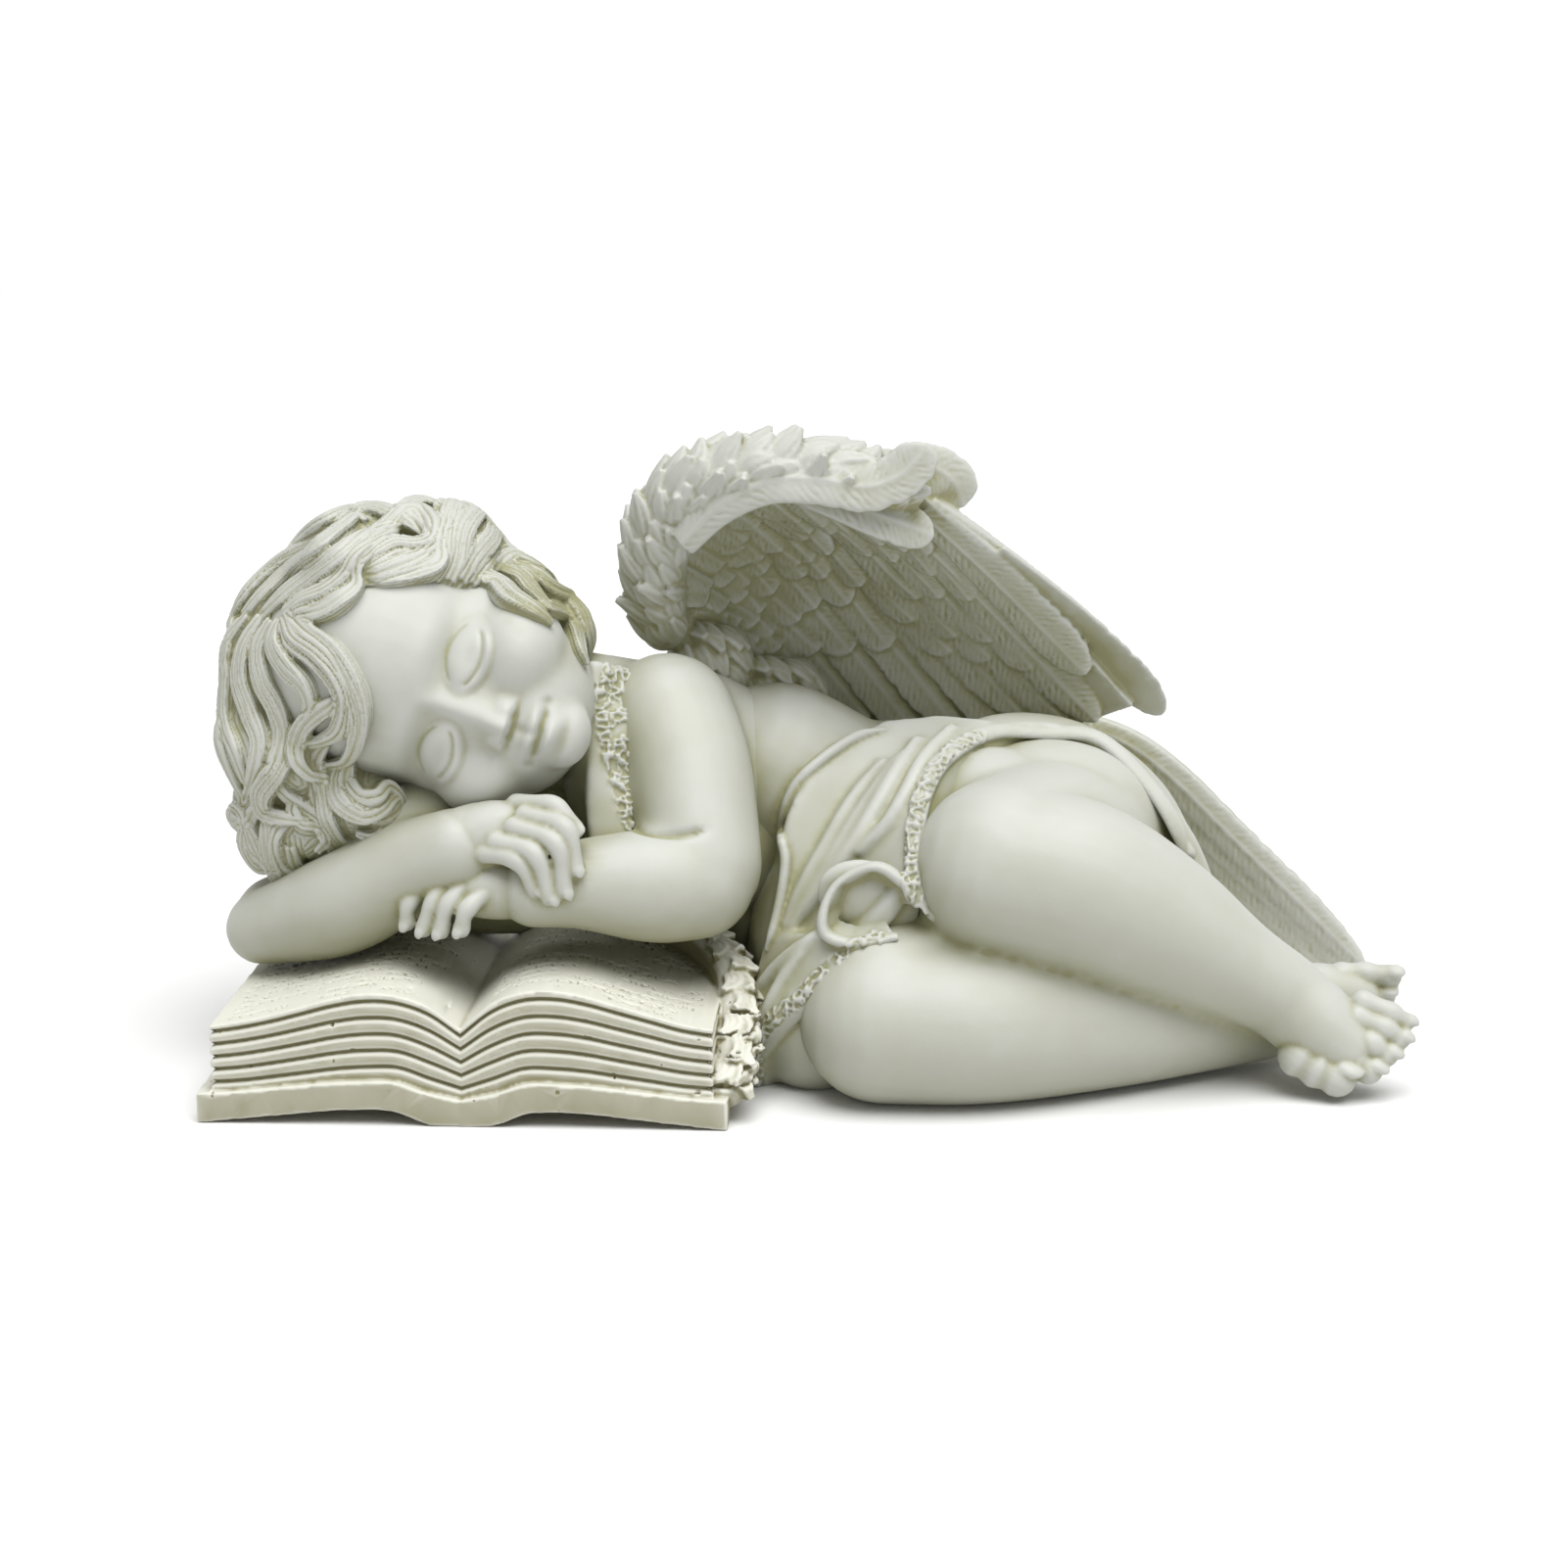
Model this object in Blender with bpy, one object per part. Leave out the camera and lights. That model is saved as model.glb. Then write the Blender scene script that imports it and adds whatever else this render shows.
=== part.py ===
"""Garden statue of a sleeping winged child that rests its head and arms on an open book.

Metres, +Z up. The viewer looks along +Y: the figure lies on its right side and faces -Y, with its head
at -X and its feet at +X. The origin is at the middle of the statue's underside.
"""

import math

import bmesh
import bpy
import numpy as np
from mathutils import Matrix, Vector
from mathutils.bvhtree import BVHTree

# Driving sizes, in metres. The figure is modelled in units of its own and is 355 of them long, whatever
# its size, and the book is as long for its own length of 148 units.
FIGURE_LENGTH = 0.355
UNIT = FIGURE_LENGTH / 355.0
CLEARANCE = 0.3  # between the figure and the book, in units
ORIGIN = Vector((7.4, -6.65, 0.0))  # under the middle of the statue, in the figure's frame
GROUND_BLOCK = (600.0, 400.0, 100.0)  # what is taken away below the ground, larger than the statue

# Facets: the voxels of the fused surfaces, in units, and the triangles that are left of them.
SKIN_VOXEL = 1.8
FINE_VOXEL = 1.3
FIGURE_TRIANGLES = 7900

# The head's own frame: X to the figure's left, -Y out of the face, Z to the crown.
HEAD_CENTRE = Vector((-107.0, -4.0, 117.0))
HEAD_ROLL = math.radians(-72.5)
EYE_OUT = 14.5
EYE_HEIGHT = -15.5
NOSE_TOP = -6.0
NOSE_BASE = -32.5
MOUTH_HEIGHT = -40.5
HAIR_CENTRE = Vector((-8.0, 10.0, 17.0))
HAIR_RADIUS = 40.0

# Locks of hair seen from the front: half width, lift off the head, and the way from the parting to the
# tip as (x, z) in the head's own frame.
LOCKS = [
    (4.5, 1, [(8, 38), (-1, 45), (-16, 51), (-30, 52), (-45, 43)]),
    (4.5, 2, [(7, 38), (-3, 42), (-16, 44), (-29, 41), (-49, 36)]),
    (4.0, 2, [(7, 39), (-3, 37), (-10, 29), (-16, 21), (-25, 17)]),
    (4.5, 5, [(8, 37), (5, 27), (1, 16), (-7, 9), (-13, 14), (-19, 21), (-26, 22), (-32, 16)]),
    (4.0, 4, [(10, 34), (8, 23), (1, 13), (-10, 7), (-20, 7), (-26, 12)]),
    (4.0, 3, [(-10, 40), (-22, 34), (-31, 30), (-43, 30)]),
    (4.5, 5, [(-26, 25), (-39, 30), (-52, 30), (-61, 24), (-66, 15), (-62, 6)]),
    (4.5, 5, [(-23, 10), (-32, 8), (-41, 0), (-36, -7), (-42, -10), (-52, -5), (-58, 3), (-58, 11)]),
    (4.0, 4, [(-29, 12), (-41, 10), (-51, 6), (-53, -2)]),
    (4.5, 3, [(-45, 39), (-55, 35), (-64, 34), (-70, 27), (-74, 21)]),
    (4.0, 3, [(-43, 33), (-55, 29), (-67, 24)]),
    (4.5, 2, [(10, 38), (21, 33), (30, 29), (38, 27)]),
    (4.5, 1, [(9, 39), (17, 41), (28, 38), (35, 33)]),
    (4.5, 1, [(8, 41), (12, 49), (19, 51), (28, 45)]),
    (4.5, 5, [(11, 34), (20, 27), (26, 21), (23, 18), (17, 23)]),
    (5.0, 6, [(27, 29), (36, 23), (38, 13), (35, 3), (31, 6), (30, 16)]),
    (3.5, 7, [(36, 16), (42, 14), (43, 7), (37, 2)]),
    (4.5, 6, [(29, -2), (36, -1), (42, 0), (48, 5), (50, -1), (45, -8), (39, -9)]),
    (4.5, 5, [(30, -6), (37, -8), (41, -12), (38, -23)]),
    (4.5, 5, [(30, -10), (33, -15), (36, -24), (34, -36)]),
    (4.5, 5, [(29, -14), (26, -26), (26, -39)]),
    (4.5, 5, [(23, -26), (23, -37), (20, -45), (13, -49)]),
]
BACK_LOCKS = 11
# Thick parts of the hair under the locks, in the head's own frame: centre and radii.
HAIR_MASSES = [
    ((25, -12, 20), (11, 14, 19)),
    ((29, -4, 0), (11, 17, 16)),
    ((27, 4, -18), (11, 15, 16)),
    ((20, 8, -36), (11, 14, 12)),
    ((-32, -8, 26), (17, 20, 22)),
    ((-49, -4, 27), (13, 13, 14)),
    ((-42, -8, 8), (14, 15, 12)),
    ((-57, -4, 19), (14, 14, 17)),
    ((27, 0, 22), (12, 17, 19)),
    ((35, 2, 2), (11, 16, 15)),
]

# Nets of the wings' surfaces: each row runs from the leading edge to the feather tips, and the rows
# follow each other from the shoulder out.
UPPER_WING = [
    [(-32, 22, 124), (-24, 34, 116), (-12, 38, 111), (0, 40, 100)],
    [(-36, 14, 156), (-17, 42, 139), (0, 48, 117), (20, 46, 92)],
    [(-22, 5, 172), (2, 38, 152), (26, 48, 123), (50, 43, 89)],
    [(7, 0, 175), (31, 26, 151), (58, 38, 121), (84, 36, 91)],
    [(36, 0, 171), (64, 10, 146), (86, 20, 123), (106, 27, 100)],
]
REAR_WING = [
    [(15, 50, 104), (61, 54, 95), (107, 52, 84), (147, 48, 48), (184, 44, 12)],
    [(25, 50, 86), (70, 54, 72), (112, 53, 55), (146, 48, 30), (178, 44, 5)],
    [(46, 46, 54), (77, 50, 37), (109, 50, 19), (133, 46, 6), (155, 42, 0)],
]
# The rolled leading edge of the upper wing, from the shoulder out, as (x, y, z, radius).
WING_ROLL = [
    (-36, 22, 124, 7),
    (-38, 17, 138, 9),
    (-37, 11, 152, 10),
    (-30, 5, 165, 10),
    (-19, 0, 172, 9.5),
    (-4, -3, 175, 9),
    (12, -4, 174, 8.5),
    (26, -3, 171, 7),
    (36, -2, 168, 5),
]

WING_SCALE_ROWS = 3
WING_SCALES = 7
# Long coverts at the end of the rolled edge: their way, width and thickness.
WING_END_PLUMES = [
    ([(12, -5, 176), (28, -8, 176), (36, -8, 177), (42, -7, 181)], 10, 4),
    ([(24, 3, 170), (38, 2, 172), (48, 3, 170), (54, 4, 165)], 15, 6),
    ([(16, -7, 170), (30, -9, 165), (40, -7, 159), (46, -4, 153)], 12, 5),
]

# Knuckle, middle joint and tip of each finger: the right hand on top, the left hand on the book.
RIGHT_FINGERS = [
    ((-85, -49, 73), (-74, -55, 72), (-69, -55, 64)),
    ((-80, -50, 76), (-69, -56, 74), (-65, -56, 62)),
    ((-75, -49, 80), (-63, -56, 77), (-61, -56, 64)),
    ((-72, -47, 83), (-60.5, -54, 81), (-58, -55, 70)),
    ((-75, -42, 85), (-64, -48, 86), (-58, -51, 80)),
]
LEFT_FINGERS = [
    ((-97, -43, 66), (-105, -47, 58), (-106, -47, 52)),
    ((-92, -45, 66), (-98, -50, 59), (-101, -50, 51)),
    ((-87, -47, 65), (-93.5, -52, 59), (-96, -52, 51)),
    ((-81, -49, 63), (-88, -54, 58), (-90, -54, 52)),
]
FINGER_RADIUS = 2.6

# The rim of the dress round the thigh, and its lower hem down to the ground.
THIGH_RIM = [
    (40, -50, 55),
    (37, -46, 65),
    (38, -35, 80),
    (45, -20, 92),
    (61, -2, 98),
    (78, 4, 96),
    (93, 4, 93),
    (106, -4, 82),
    (114, -10, 72),
    (120, -12, 58),
]
SKIRT_HEM = [(31, -50, 49), (18, -52, 41), (4, -50, 28), (-5, -44, 15), (-8, -36, 3)]
COWL = [
    (38, -48, 57),
    (33, -47, 64),
    (25, -46, 68),
    (15, -46, 63),
    (11, -48, 55),
    (12, -49, 49),
    (20, -51, 47),
    (32, -51, 49),
]

# The book, in units of its own, and its place in the figure's frame.
COVER_HALF_WIDTH = 74.0
COVER_OVERHANG = 4.0  # of the cover past the pages at each side
PAGE_HALF_WIDTH = COVER_HALF_WIDTH - COVER_OVERHANG
BOOK_RIGHT_EDGE = -15.5  # of the cover, beside the dress
BOOK_FRONT = -71.5
BOOK_SPINE = Vector((BOOK_RIGHT_EDGE - COVER_HALF_WIDTH, BOOK_FRONT, 0.0))
BOOK_TURN = math.radians(-2.7)
BOOK_DEPTH = 100.0
PAGE_INSET = 2.0
PAGE_GROOVES = 6
GROOVE_DEPTH = 0.8
# Heights of the open pages and of the cover's two faces from the spine out to the edge.
LEFT_PAGES = [27.5, 34.0, 37.0, 37.5, 36.0, 33.5, 31.0, 29.0, 27.5]
RIGHT_PAGES = [27.5, 35.0, 38.5, 39.0, 37.5, 35.0, 32.5, 30.0, 28.5]
COVER_TOP = [7.5, 9.5, 12.5, 12.5, 12.0, 11.0, 10.0, 9.0, 8.5]
COVER_UNDER = [0.0, 0.5, 4.0, 4.5, 4.0, 3.0, 2.0, 1.0, 0.0]
LEAF_HEIGHT = 1.4  # the border's carved leaves over its roll
# The carved border of the book's right end, in the figure's frame, as (x, y, z, radius).
BORDER = [
    (-46, 5, 38, 4.5),
    (-33, -2, 37, 5.5),
    (-22, -13, 34, 6.0),
    (-15, -28, 30, 6.0),
    (-13.5, -43, 24, 6.0),
    (-14, -57, 16, 6.0),
    (-16, -66, 9, 5.0),
]


def on_curve(known, share):
    """The point at this share of a smooth curve through the known points. Past an end it runs on straight."""
    last = len(known) - 1
    inside = min(max(share, 0.0), 1.0)
    i = min(int(inside * last), last - 1)
    t = inside * last - i
    b, c = known[i], known[i + 1]
    a = known[i - 1] if i > 0 else 2 * b - c
    d = known[i + 2] if i + 2 <= last else 2 * c - b
    point = 0.5 * (2 * b + (c - a) * t + (2 * a - 5 * b + 4 * c - d) * t**2 + (3 * b - a - 3 * c + d) * t**3)
    return point + (share - inside) * last * (c - b)


def curve(known, count):
    """count points, evenly spread over the stations of a smooth curve."""
    known = np.array(known, float)
    return np.array([on_curve(known, share) for share in np.linspace(0, 1, count)])


class Net:
    """A smooth surface through rows of points. s runs from row to row and t along the rows."""

    def __init__(self, rows):
        self.rows = np.array(rows, float)

    def point(self, s, t):
        return Vector(on_curve(np.array([on_curve(row, t) for row in self.rows]), s))

    def normal(self, s, t):
        step = 0.02
        across = self.point(s + step, t) - self.point(s - step, t)
        along = self.point(s, t + step) - self.point(s, t - step)
        return across.cross(along).normalized()


def sweep(bm, centres, halves, facings, sides=8):
    """A closed tube along the centres. halves holds its half width and half thickness at each of them.

    facings is the direction of its thickness, or a list with one for each centre.
    """
    if isinstance(facings, Vector):
        facings = [facings] * len(centres)
    centres = [Vector(centre) for centre in centres]
    rings = []
    last = len(centres) - 1
    for i, (centre, (wide, thick), facing) in enumerate(zip(centres, halves, facings)):
        ahead = (centres[min(i + 1, last)] - centres[max(i - 1, 0)]).normalized()
        side = ahead.cross(facing).normalized()
        out = side.cross(ahead)
        angles = [2 * math.pi * k / sides for k in range(sides)]
        rings.append(
            [bm.verts.new(centre + side * wide * math.cos(a) + out * thick * math.sin(a)) for a in angles]
        )
    for ring, following in zip(rings, rings[1:]):
        for i, vertex in enumerate(ring):
            j = (i + 1) % sides
            bm.faces.new((vertex, following[i], following[j], ring[j]))
    bm.faces.new(rings[0])
    bm.faces.new(reversed(rings[-1]))


def limb(bm, stations, sides=16, count=None):
    """A round limb through stations (x, y, z, radius), with round ends."""
    path = curve(stations, count or 5 * len(stations) - 4)
    start, end = path[0], path[-1]
    back = Vector(path[0][:3] - path[1][:3]).normalized()
    ahead = Vector(path[-1][:3] - path[-2][:3]).normalized()
    caps = [math.radians(a) for a in (82, 60, 30)]
    centres = [Vector(start[:3]) + back * start[3] * math.sin(a) for a in caps]
    radii = [start[3] * math.cos(a) for a in caps]
    centres += [Vector(station[:3]) for station in path]
    radii += [station[3] for station in path]
    centres += [Vector(end[:3]) + ahead * end[3] * math.sin(a) for a in reversed(caps)]
    radii += [end[3] * math.cos(a) for a in reversed(caps)]
    sweep(bm, centres, [(r, r) for r in radii], back.orthogonal(), sides)


def ball(bm, centre, radii, turn=None, sides=20):
    """An ellipsoid. turn is its rotation matrix."""
    place = Matrix.Translation(Vector(centre)) @ (turn or Matrix()).to_4x4() @ Matrix.Diagonal((*radii, 1.0))
    bmesh.ops.create_uvsphere(bm, u_segments=sides, v_segments=sides // 2, radius=1.0, matrix=place)


def shell(bm, net, thickness, columns=24, rows=16, relief=None):
    """A slab on the net. thickness and relief, which raises its front, are functions of (s, t)."""
    grid = []
    for i in range(columns + 1):
        s = i / columns
        line = []
        for j in range(rows + 1):
            t = j / rows
            point, normal = net.point(s, t), net.normal(s, t)
            half = thickness(s, t) / 2
            raised = half + (relief(s, t) if relief else 0.0)
            line.append((bm.verts.new(point - normal * raised), bm.verts.new(point + normal * half)))
        grid.append(line)
    for i in range(columns):
        for j in range(rows):
            a, b, c, d = grid[i][j], grid[i + 1][j], grid[i + 1][j + 1], grid[i][j + 1]
            bm.faces.new((a[0], d[0], c[0], b[0]))
            bm.faces.new((a[1], b[1], c[1], d[1]))
    for j in range(rows):
        a, b, c, d = grid[0][j], grid[0][j + 1], grid[-1][j], grid[-1][j + 1]
        bm.faces.new((a[0], a[1], b[1], b[0]))
        bm.faces.new((c[0], d[0], d[1], c[1]))
    for i in range(columns):
        a, b, c, d = grid[i][0], grid[i + 1][0], grid[i][-1], grid[i + 1][-1]
        bm.faces.new((a[0], b[0], b[1], a[1]))
        bm.faces.new((c[0], c[1], d[1], d[0]))


def blade(share):
    """Half width of a feather or leaf at a share of its length, as a share of the greatest: a round tip."""
    body = 0.6 + 0.4 * math.sin(math.pi / 2 * min(share / 0.55, 1.0))
    return body * math.sqrt(max(1.0 - max((share - 0.72) / 0.28, 0.0) ** 2, 0.02))


def feather(bm, net, side, root, tip, width, thick, rise=1.5, tilt=10):
    """A feather on the net from root to tip, both (s, t). side is -1 on its front and 1 on its back.

    Its tip stands off by rise, and it is tilted by some degrees, so that it laps over the next one.
    """
    centres, halves, facings = [], [], []
    count = 9
    for k in range(count):
        share = math.sin(math.pi / 2 * k / (count - 1))
        s, t = (a + (b - a) * share for a, b in zip(root, tip))
        normal = side * net.normal(s, t)
        centres.append(net.point(s, t) + normal * (1.0 + rise * share))
        halves.append((0.5 * width * blade(share), 0.5 * thick * (1.1 - 0.5 * share)))
        facings.append(normal)
    for i, facing in enumerate(facings):
        ahead = centres[min(i + 1, count - 1)] - centres[max(i - 1, 0)]
        facings[i] = Matrix.Rotation(math.radians(tilt), 3, ahead) @ facing
    sweep(bm, centres, halves, facings)


def leaf(bm, base, direction, facing, length, width, thick, curl=0.25):
    """A short feather or leaf that bends away from the surface under it."""
    count = 6
    centres = []
    halves = []
    for k in range(count):
        share = math.sin(math.pi / 2 * k / (count - 1))
        centres.append(base + direction * length * share + facing * curl * length * share**2)
        halves.append((0.5 * width * blade(share), 0.5 * thick * (1.1 - 0.5 * share)))
    sweep(bm, centres, halves, facing)


def plume(bm, stations, width, thick, facing):
    """A feather that hangs free along its own curve."""
    path = curve(stations, 12)
    shares = np.linspace(0, 1, len(path))
    sweep(bm, path, [(0.5 * width * blade(x), 0.5 * thick * (1.1 - 0.5 * x)) for x in shares], facing)


def head_turn():
    return Matrix.Rotation(HEAD_ROLL, 3, "Y")


def on_head(x, y, z):
    """A point of the head's own frame, in the figure's frame."""
    return HEAD_CENTRE + head_turn() @ Vector((x, y, z))


def head(bm):
    """Skull, cheeks, chin and the thick parts of the hair."""
    turn = head_turn()
    ball(bm, on_head(0, 4, 6), (37, 44, 42), turn, 32)
    ball(bm, on_head(0, -4, -17), (34, 34, 31), turn, 28)
    ball(bm, on_head(0, -14, -35), (25, 23, 19), turn, 24)
    ball(bm, on_head(0, -29, -47), (10, 9, 8), turn)
    for side in (-1, 1):
        ball(bm, on_head(16 * side, -20, -27), (16.5, 17.5, 15), turn)
    ball(bm, on_head(*HAIR_CENTRE), (HAIR_RADIUS,) * 3, turn, 32)
    for centre, radii in HAIR_MASSES:
        ball(bm, on_head(*centre), radii, turn)


def mound(x, z, centre, radii):
    """A soft round swell of height 1 over centre, of the radii along X and Z."""
    return np.exp(-(((x - centre[0]) / radii[0]) ** 2) - ((z - centre[1]) / radii[1]) ** 2)


def face_relief(x, z):
    """How far the sleeping child's features stand out of the smooth head, at its (x, z)."""
    side = np.abs(x)
    nose = np.clip((z - NOSE_BASE) / 2.5, 0, 1) * np.clip((NOSE_TOP - z) / 8.0, 0, 1)
    width = 3.4 + 2.2 * np.clip((NOSE_TOP - z) / (NOSE_TOP - NOSE_BASE), 0, 1)
    height = 1.5 + 5.0 * np.clip((NOSE_TOP - z) / (NOSE_TOP - NOSE_BASE), 0, 1) ** 1.5
    relief = nose * height * np.exp(-((x / width) ** 2))
    relief += 2.6 * nose * mound(side, z, (5.6, NOSE_BASE + 3.5), (2.8, 3.2))
    lid = 1 - ((side - EYE_OUT) / 8.0) ** 2 - ((z - EYE_HEIGHT) / 6.0) ** 2
    relief += 4.0 * np.sqrt(np.clip(lid, 0, 1)) - 2.6 * mound(side, z, (EYE_OUT - 1, EYE_HEIGHT + 2), (11, 8))
    relief += 1.4 * mound(side, z, (EYE_OUT, EYE_HEIGHT + 12), (11, 4.5))
    relief += 1.6 * mound(side, z, (21, NOSE_BASE + 2), (9, 9))
    relief += 2.2 * mound(side, z, (0, MOUTH_HEIGHT + 2), (11, 8))
    relief += 2.0 * mound(side, z, (2.5, MOUTH_HEIGHT + 2.2), (5.0, 1.9))
    relief += 2.4 * mound(side, z, (0, MOUTH_HEIGHT - 2.6), (5.5, 2.2))
    relief -= 1.6 * mound(side, z, (0, MOUTH_HEIGHT), (7.5, 0.9))
    relief -= 1.2 * mound(side, z, (0, MOUTH_HEIGHT - 6.5), (7, 2.2))
    return relief


def shape_face(mesh):
    """Raises the features out of the front of the head."""
    count = len(mesh.vertices)
    places = np.empty(3 * count)
    normals = np.empty(3 * count)
    mesh.vertices.foreach_get("co", places)
    mesh.vertices.foreach_get("normal", normals)
    turn = np.array(head_turn())
    places = places.reshape(-1, 3)
    local = (places - np.array(HEAD_CENTRE)) @ turn
    facing = -(normals.reshape(-1, 3) @ turn)[:, 1]
    front = np.clip((-local[:, 1] - 12) / 12, 0, 1) * np.clip(facing / 0.5, 0, 1)
    front *= np.clip((np.abs(local[:, 0]) < 34) * (local[:, 2] > -60) * (local[:, 2] < 20), 0, 1)
    local[:, 1] -= front * face_relief(local[:, 0], local[:, 2])
    places = local @ turn.T + np.array(HEAD_CENTRE)
    mesh.vertices.foreach_set("co", places.ravel())
    mesh.update()


def torso(bm):
    """Neck, shoulders, chest, waist and hips."""
    limb(bm, [(-66, 4, 100, 21), (-48, 10, 94, 23), (-28, 14, 86, 27)])
    limb(bm, [(-30, 14, 86, 27), (-10, 17, 76, 28), (20, 22, 62, 30), (52, 24, 58, 33), (82, 26, 54, 34)], 24)


def legs(bm):
    """The upper leg bent forward at the hip and the knee, and the lower one on the ground."""
    limb(bm, [(92, 12, 56, 28), (76, -16, 63, 28), (62, -37, 65, 26)], 20)
    ball(bm, (77, 1, 64), (38, 24, 30.5))
    ball(bm, (60, -8, 69), (24, 22, 25))
    limb(bm, [(61, -38, 65, 25), (84, -40, 60, 25), (107, -40, 49, 21), (129, -39, 36, 15), (143, -38, 28, 12.5)], 20)
    limb(bm, [(80, 10, 34, 32), (50, -25, 27, 28), (30, -42, 24, 26)], 20)
    limb(bm, [(28, -46, 23, 24), (58, -46, 22, 23), (98, -34, 19, 19), (140, -18, 15, 13)], 20)
    limb(bm, [(143, -38, 27, 12.5), (152, -40, 20, 12.5), (159, -42, 14, 11)])
    limb(bm, [(138, -18, 16, 13), (154, -12, 18, 11.5), (168, -10, 18, 10)])


def arms(bm):
    """The left arm folded over the book, and the right forearm under the cheek."""
    limb(bm, [(-34, -3, 101, 20), (-28, -16, 88, 19), (-24, -32, 65, 18)])
    limb(bm, [(-25, -35, 61, 17), (-38, -40, 61, 16.5), (-57, -43, 62, 13), (-70, -45, 61, 11)])
    limb(bm, [(-20, 0, 60, 19), (-60, 6, 58, 17.5)])
    limb(bm, [(-50, 10, 68, 18), (-100, 5, 55, 16), (-150, -8, 43, 12)])
    limb(bm, [(-153, -14, 41, 11), (-128, -28, 52, 15), (-106, -36, 65, 13.5), (-92, -42, 72, 12)])
    ball(bm, (-107, -18, 74), (22, 16, 13))
    ball(bm, (-38, -14, 78), (16, 16, 18))


def hands(bm):
    """Both hands lie on each other, with curled fingers."""
    ball(bm, (-86, -43, 75), (16, 8.5, 10), Matrix.Rotation(math.radians(-25), 3, "Y"))
    ball(bm, (-80, -45, 61), (17, 8, 8.5))
    for knuckle, middle, tip in RIGHT_FINGERS + LEFT_FINGERS:
        r = FINGER_RADIUS
        limb(bm, [(*knuckle, r), (*middle, r), (*tip, 0.85 * r)], 10, 9)


def feet(bm):
    """The left foot in front, on its big toe, and the right foot behind it."""
    toes = [
        ((150, -47, 9), (157, -50, 7), 6.2),
        ((158, -47, 13), (166, -49, 9), 4.6),
        ((163, -46, 17), (171, -47, 13), 4.2),
        ((166, -45, 21), (175, -45, 17), 3.8),
        ((168, -43, 25), (177, -42, 21), 3.4),
    ]
    for root, tip, radius in toes:
        limb(bm, [(*root, radius), (*tip, radius)], 10, 5)
    for row in range(4):
        high = 25.5 - 6.0 * row
        limb(bm, [(168, -11, high, 4.0), (179 - 1.5 * row, -12, high, 3.8)], 10, 5)


def on_hair(tree, x, z, lift):
    """The point of the head's own frame that lies over (x, z), lifted off what is under it."""
    middle = on_head(*HAIR_CENTRE)
    place = tree.ray_cast(on_head(x, -100.0, z), Vector((0.0, 1.0, 0.0)))[0]
    if place is None:
        place = tree.find_nearest(on_head(x, 0.0, z))[0]
    place = place + (place - middle).normalized() * lift
    return head_turn().inverted() @ (place - HEAD_CENTRE)


def hair_support():
    """The head and the thick parts of its hair, which the locks lie on."""
    bm = bmesh.new()
    head(bm)
    tree = BVHTree.FromBMesh(bm)
    bm.free()
    return tree


def lock(bm, points, half_width, flat=0.62, sides=8):
    """A lock of hair through points of the head's own frame, thin at the parting and at the tip."""
    path = curve([tuple(p) for p in points], 4 * len(points))
    shares = np.linspace(0, 1, len(path))
    halves = []
    for share in shares:
        wide = half_width * (0.55 + 0.45 * math.sin(math.pi * share**0.8)) * (1.0 - 0.55 * share**4)
        halves.append((wide, flat * wide))
    centres = [on_head(*p) for p in path]
    middle = on_head(*HAIR_CENTRE)
    sweep(bm, centres, halves, [(c - middle).normalized() for c in centres], sides)


def hair(bm):
    """A cap of hair, the locks round the face, and plainer wavy locks over the back of the head."""
    tree = hair_support()
    for half_width, lift, way in LOCKS:
        count = len(way) - 1
        points = [on_hair(tree, x, z, 0.8 + 0.5 * lift * min(1.0, 2.0 * i / count)) for i, (x, z) in enumerate(way)]
        lock(bm, points, 1.1 * half_width, 0.6)
    whorl = (on_hair(tree, 8, 39, 0) - HAIR_CENTRE).normalized()
    back = (Vector((0.0, 1.0, 0.6)) - whorl * whorl.dot(Vector((0.0, 1.0, 0.6)))).normalized()
    side = whorl.cross(back)
    for k in range(BACK_LOCKS):
        heading = math.radians(-80 + 160 * k / (BACK_LOCKS - 1))
        reach = 112
        points = []
        for j in range(7):
            far = math.radians(12 + (reach - 12) * j / 6)
            sway = 0.10 * math.sin(2.1 * j + k)
            way = back * math.cos(heading + sway) + side * math.sin(heading + sway)
            points.append(HAIR_CENTRE + (whorl * math.cos(far) + way * math.sin(far)) * (HAIR_RADIUS + 0.8))
        lock(bm, points, 7.0, 0.4)


def upper_wing(bm):
    """The raised left wing: a hollow canopy with a rolled leading edge and rows of feathers on each face."""
    net = Net(UPPER_WING)
    shell(bm, net, lambda s, t: 4.2)
    limb(bm, WING_ROLL, 14)
    ball(bm, (-24, 30, 109), (12.5, 9, 16))
    ball(bm, (-4, 36, 100), (16, 8, 13))
    for side in (-1, 1):
        for k in range(7):
            s = (k + 0.4) / 9
            feather(bm, net, side, (s, 0.45), (s + 0.04, 1.0 + 0.03 * (k % 2)), 15, 3.6, 1.8, 14)
        for s, tip in ((0.79, 1.02), (0.9, 1.06), (1.0, 1.0)):
            feather(bm, net, side, (s - 0.02, 0.12), (s, tip), 14, 4.0, 2.0, 14)
        for row in reversed(range(WING_SCALE_ROWS)):
            for k in range(WING_SCALES - row):
                s = 0.02 + (k + 0.5 * (row % 2)) / (WING_SCALES + 0.6 * row)
                start = 0.04 + 0.4 * row / WING_SCALE_ROWS
                feather(bm, net, side, (s, start), (s + 0.02, start + 0.27), 15, 3.6, 3.6, 12)
    feather(bm, net, 1, (1.0, 0.3), (1.04, 1.1), 14, 2.6, 2.0)
    for stations, width, thick in WING_END_PLUMES:
        plume(bm, stations, width, thick, Vector((0.1, -1.0, 0.4)))
    tufts(bm)


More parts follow.
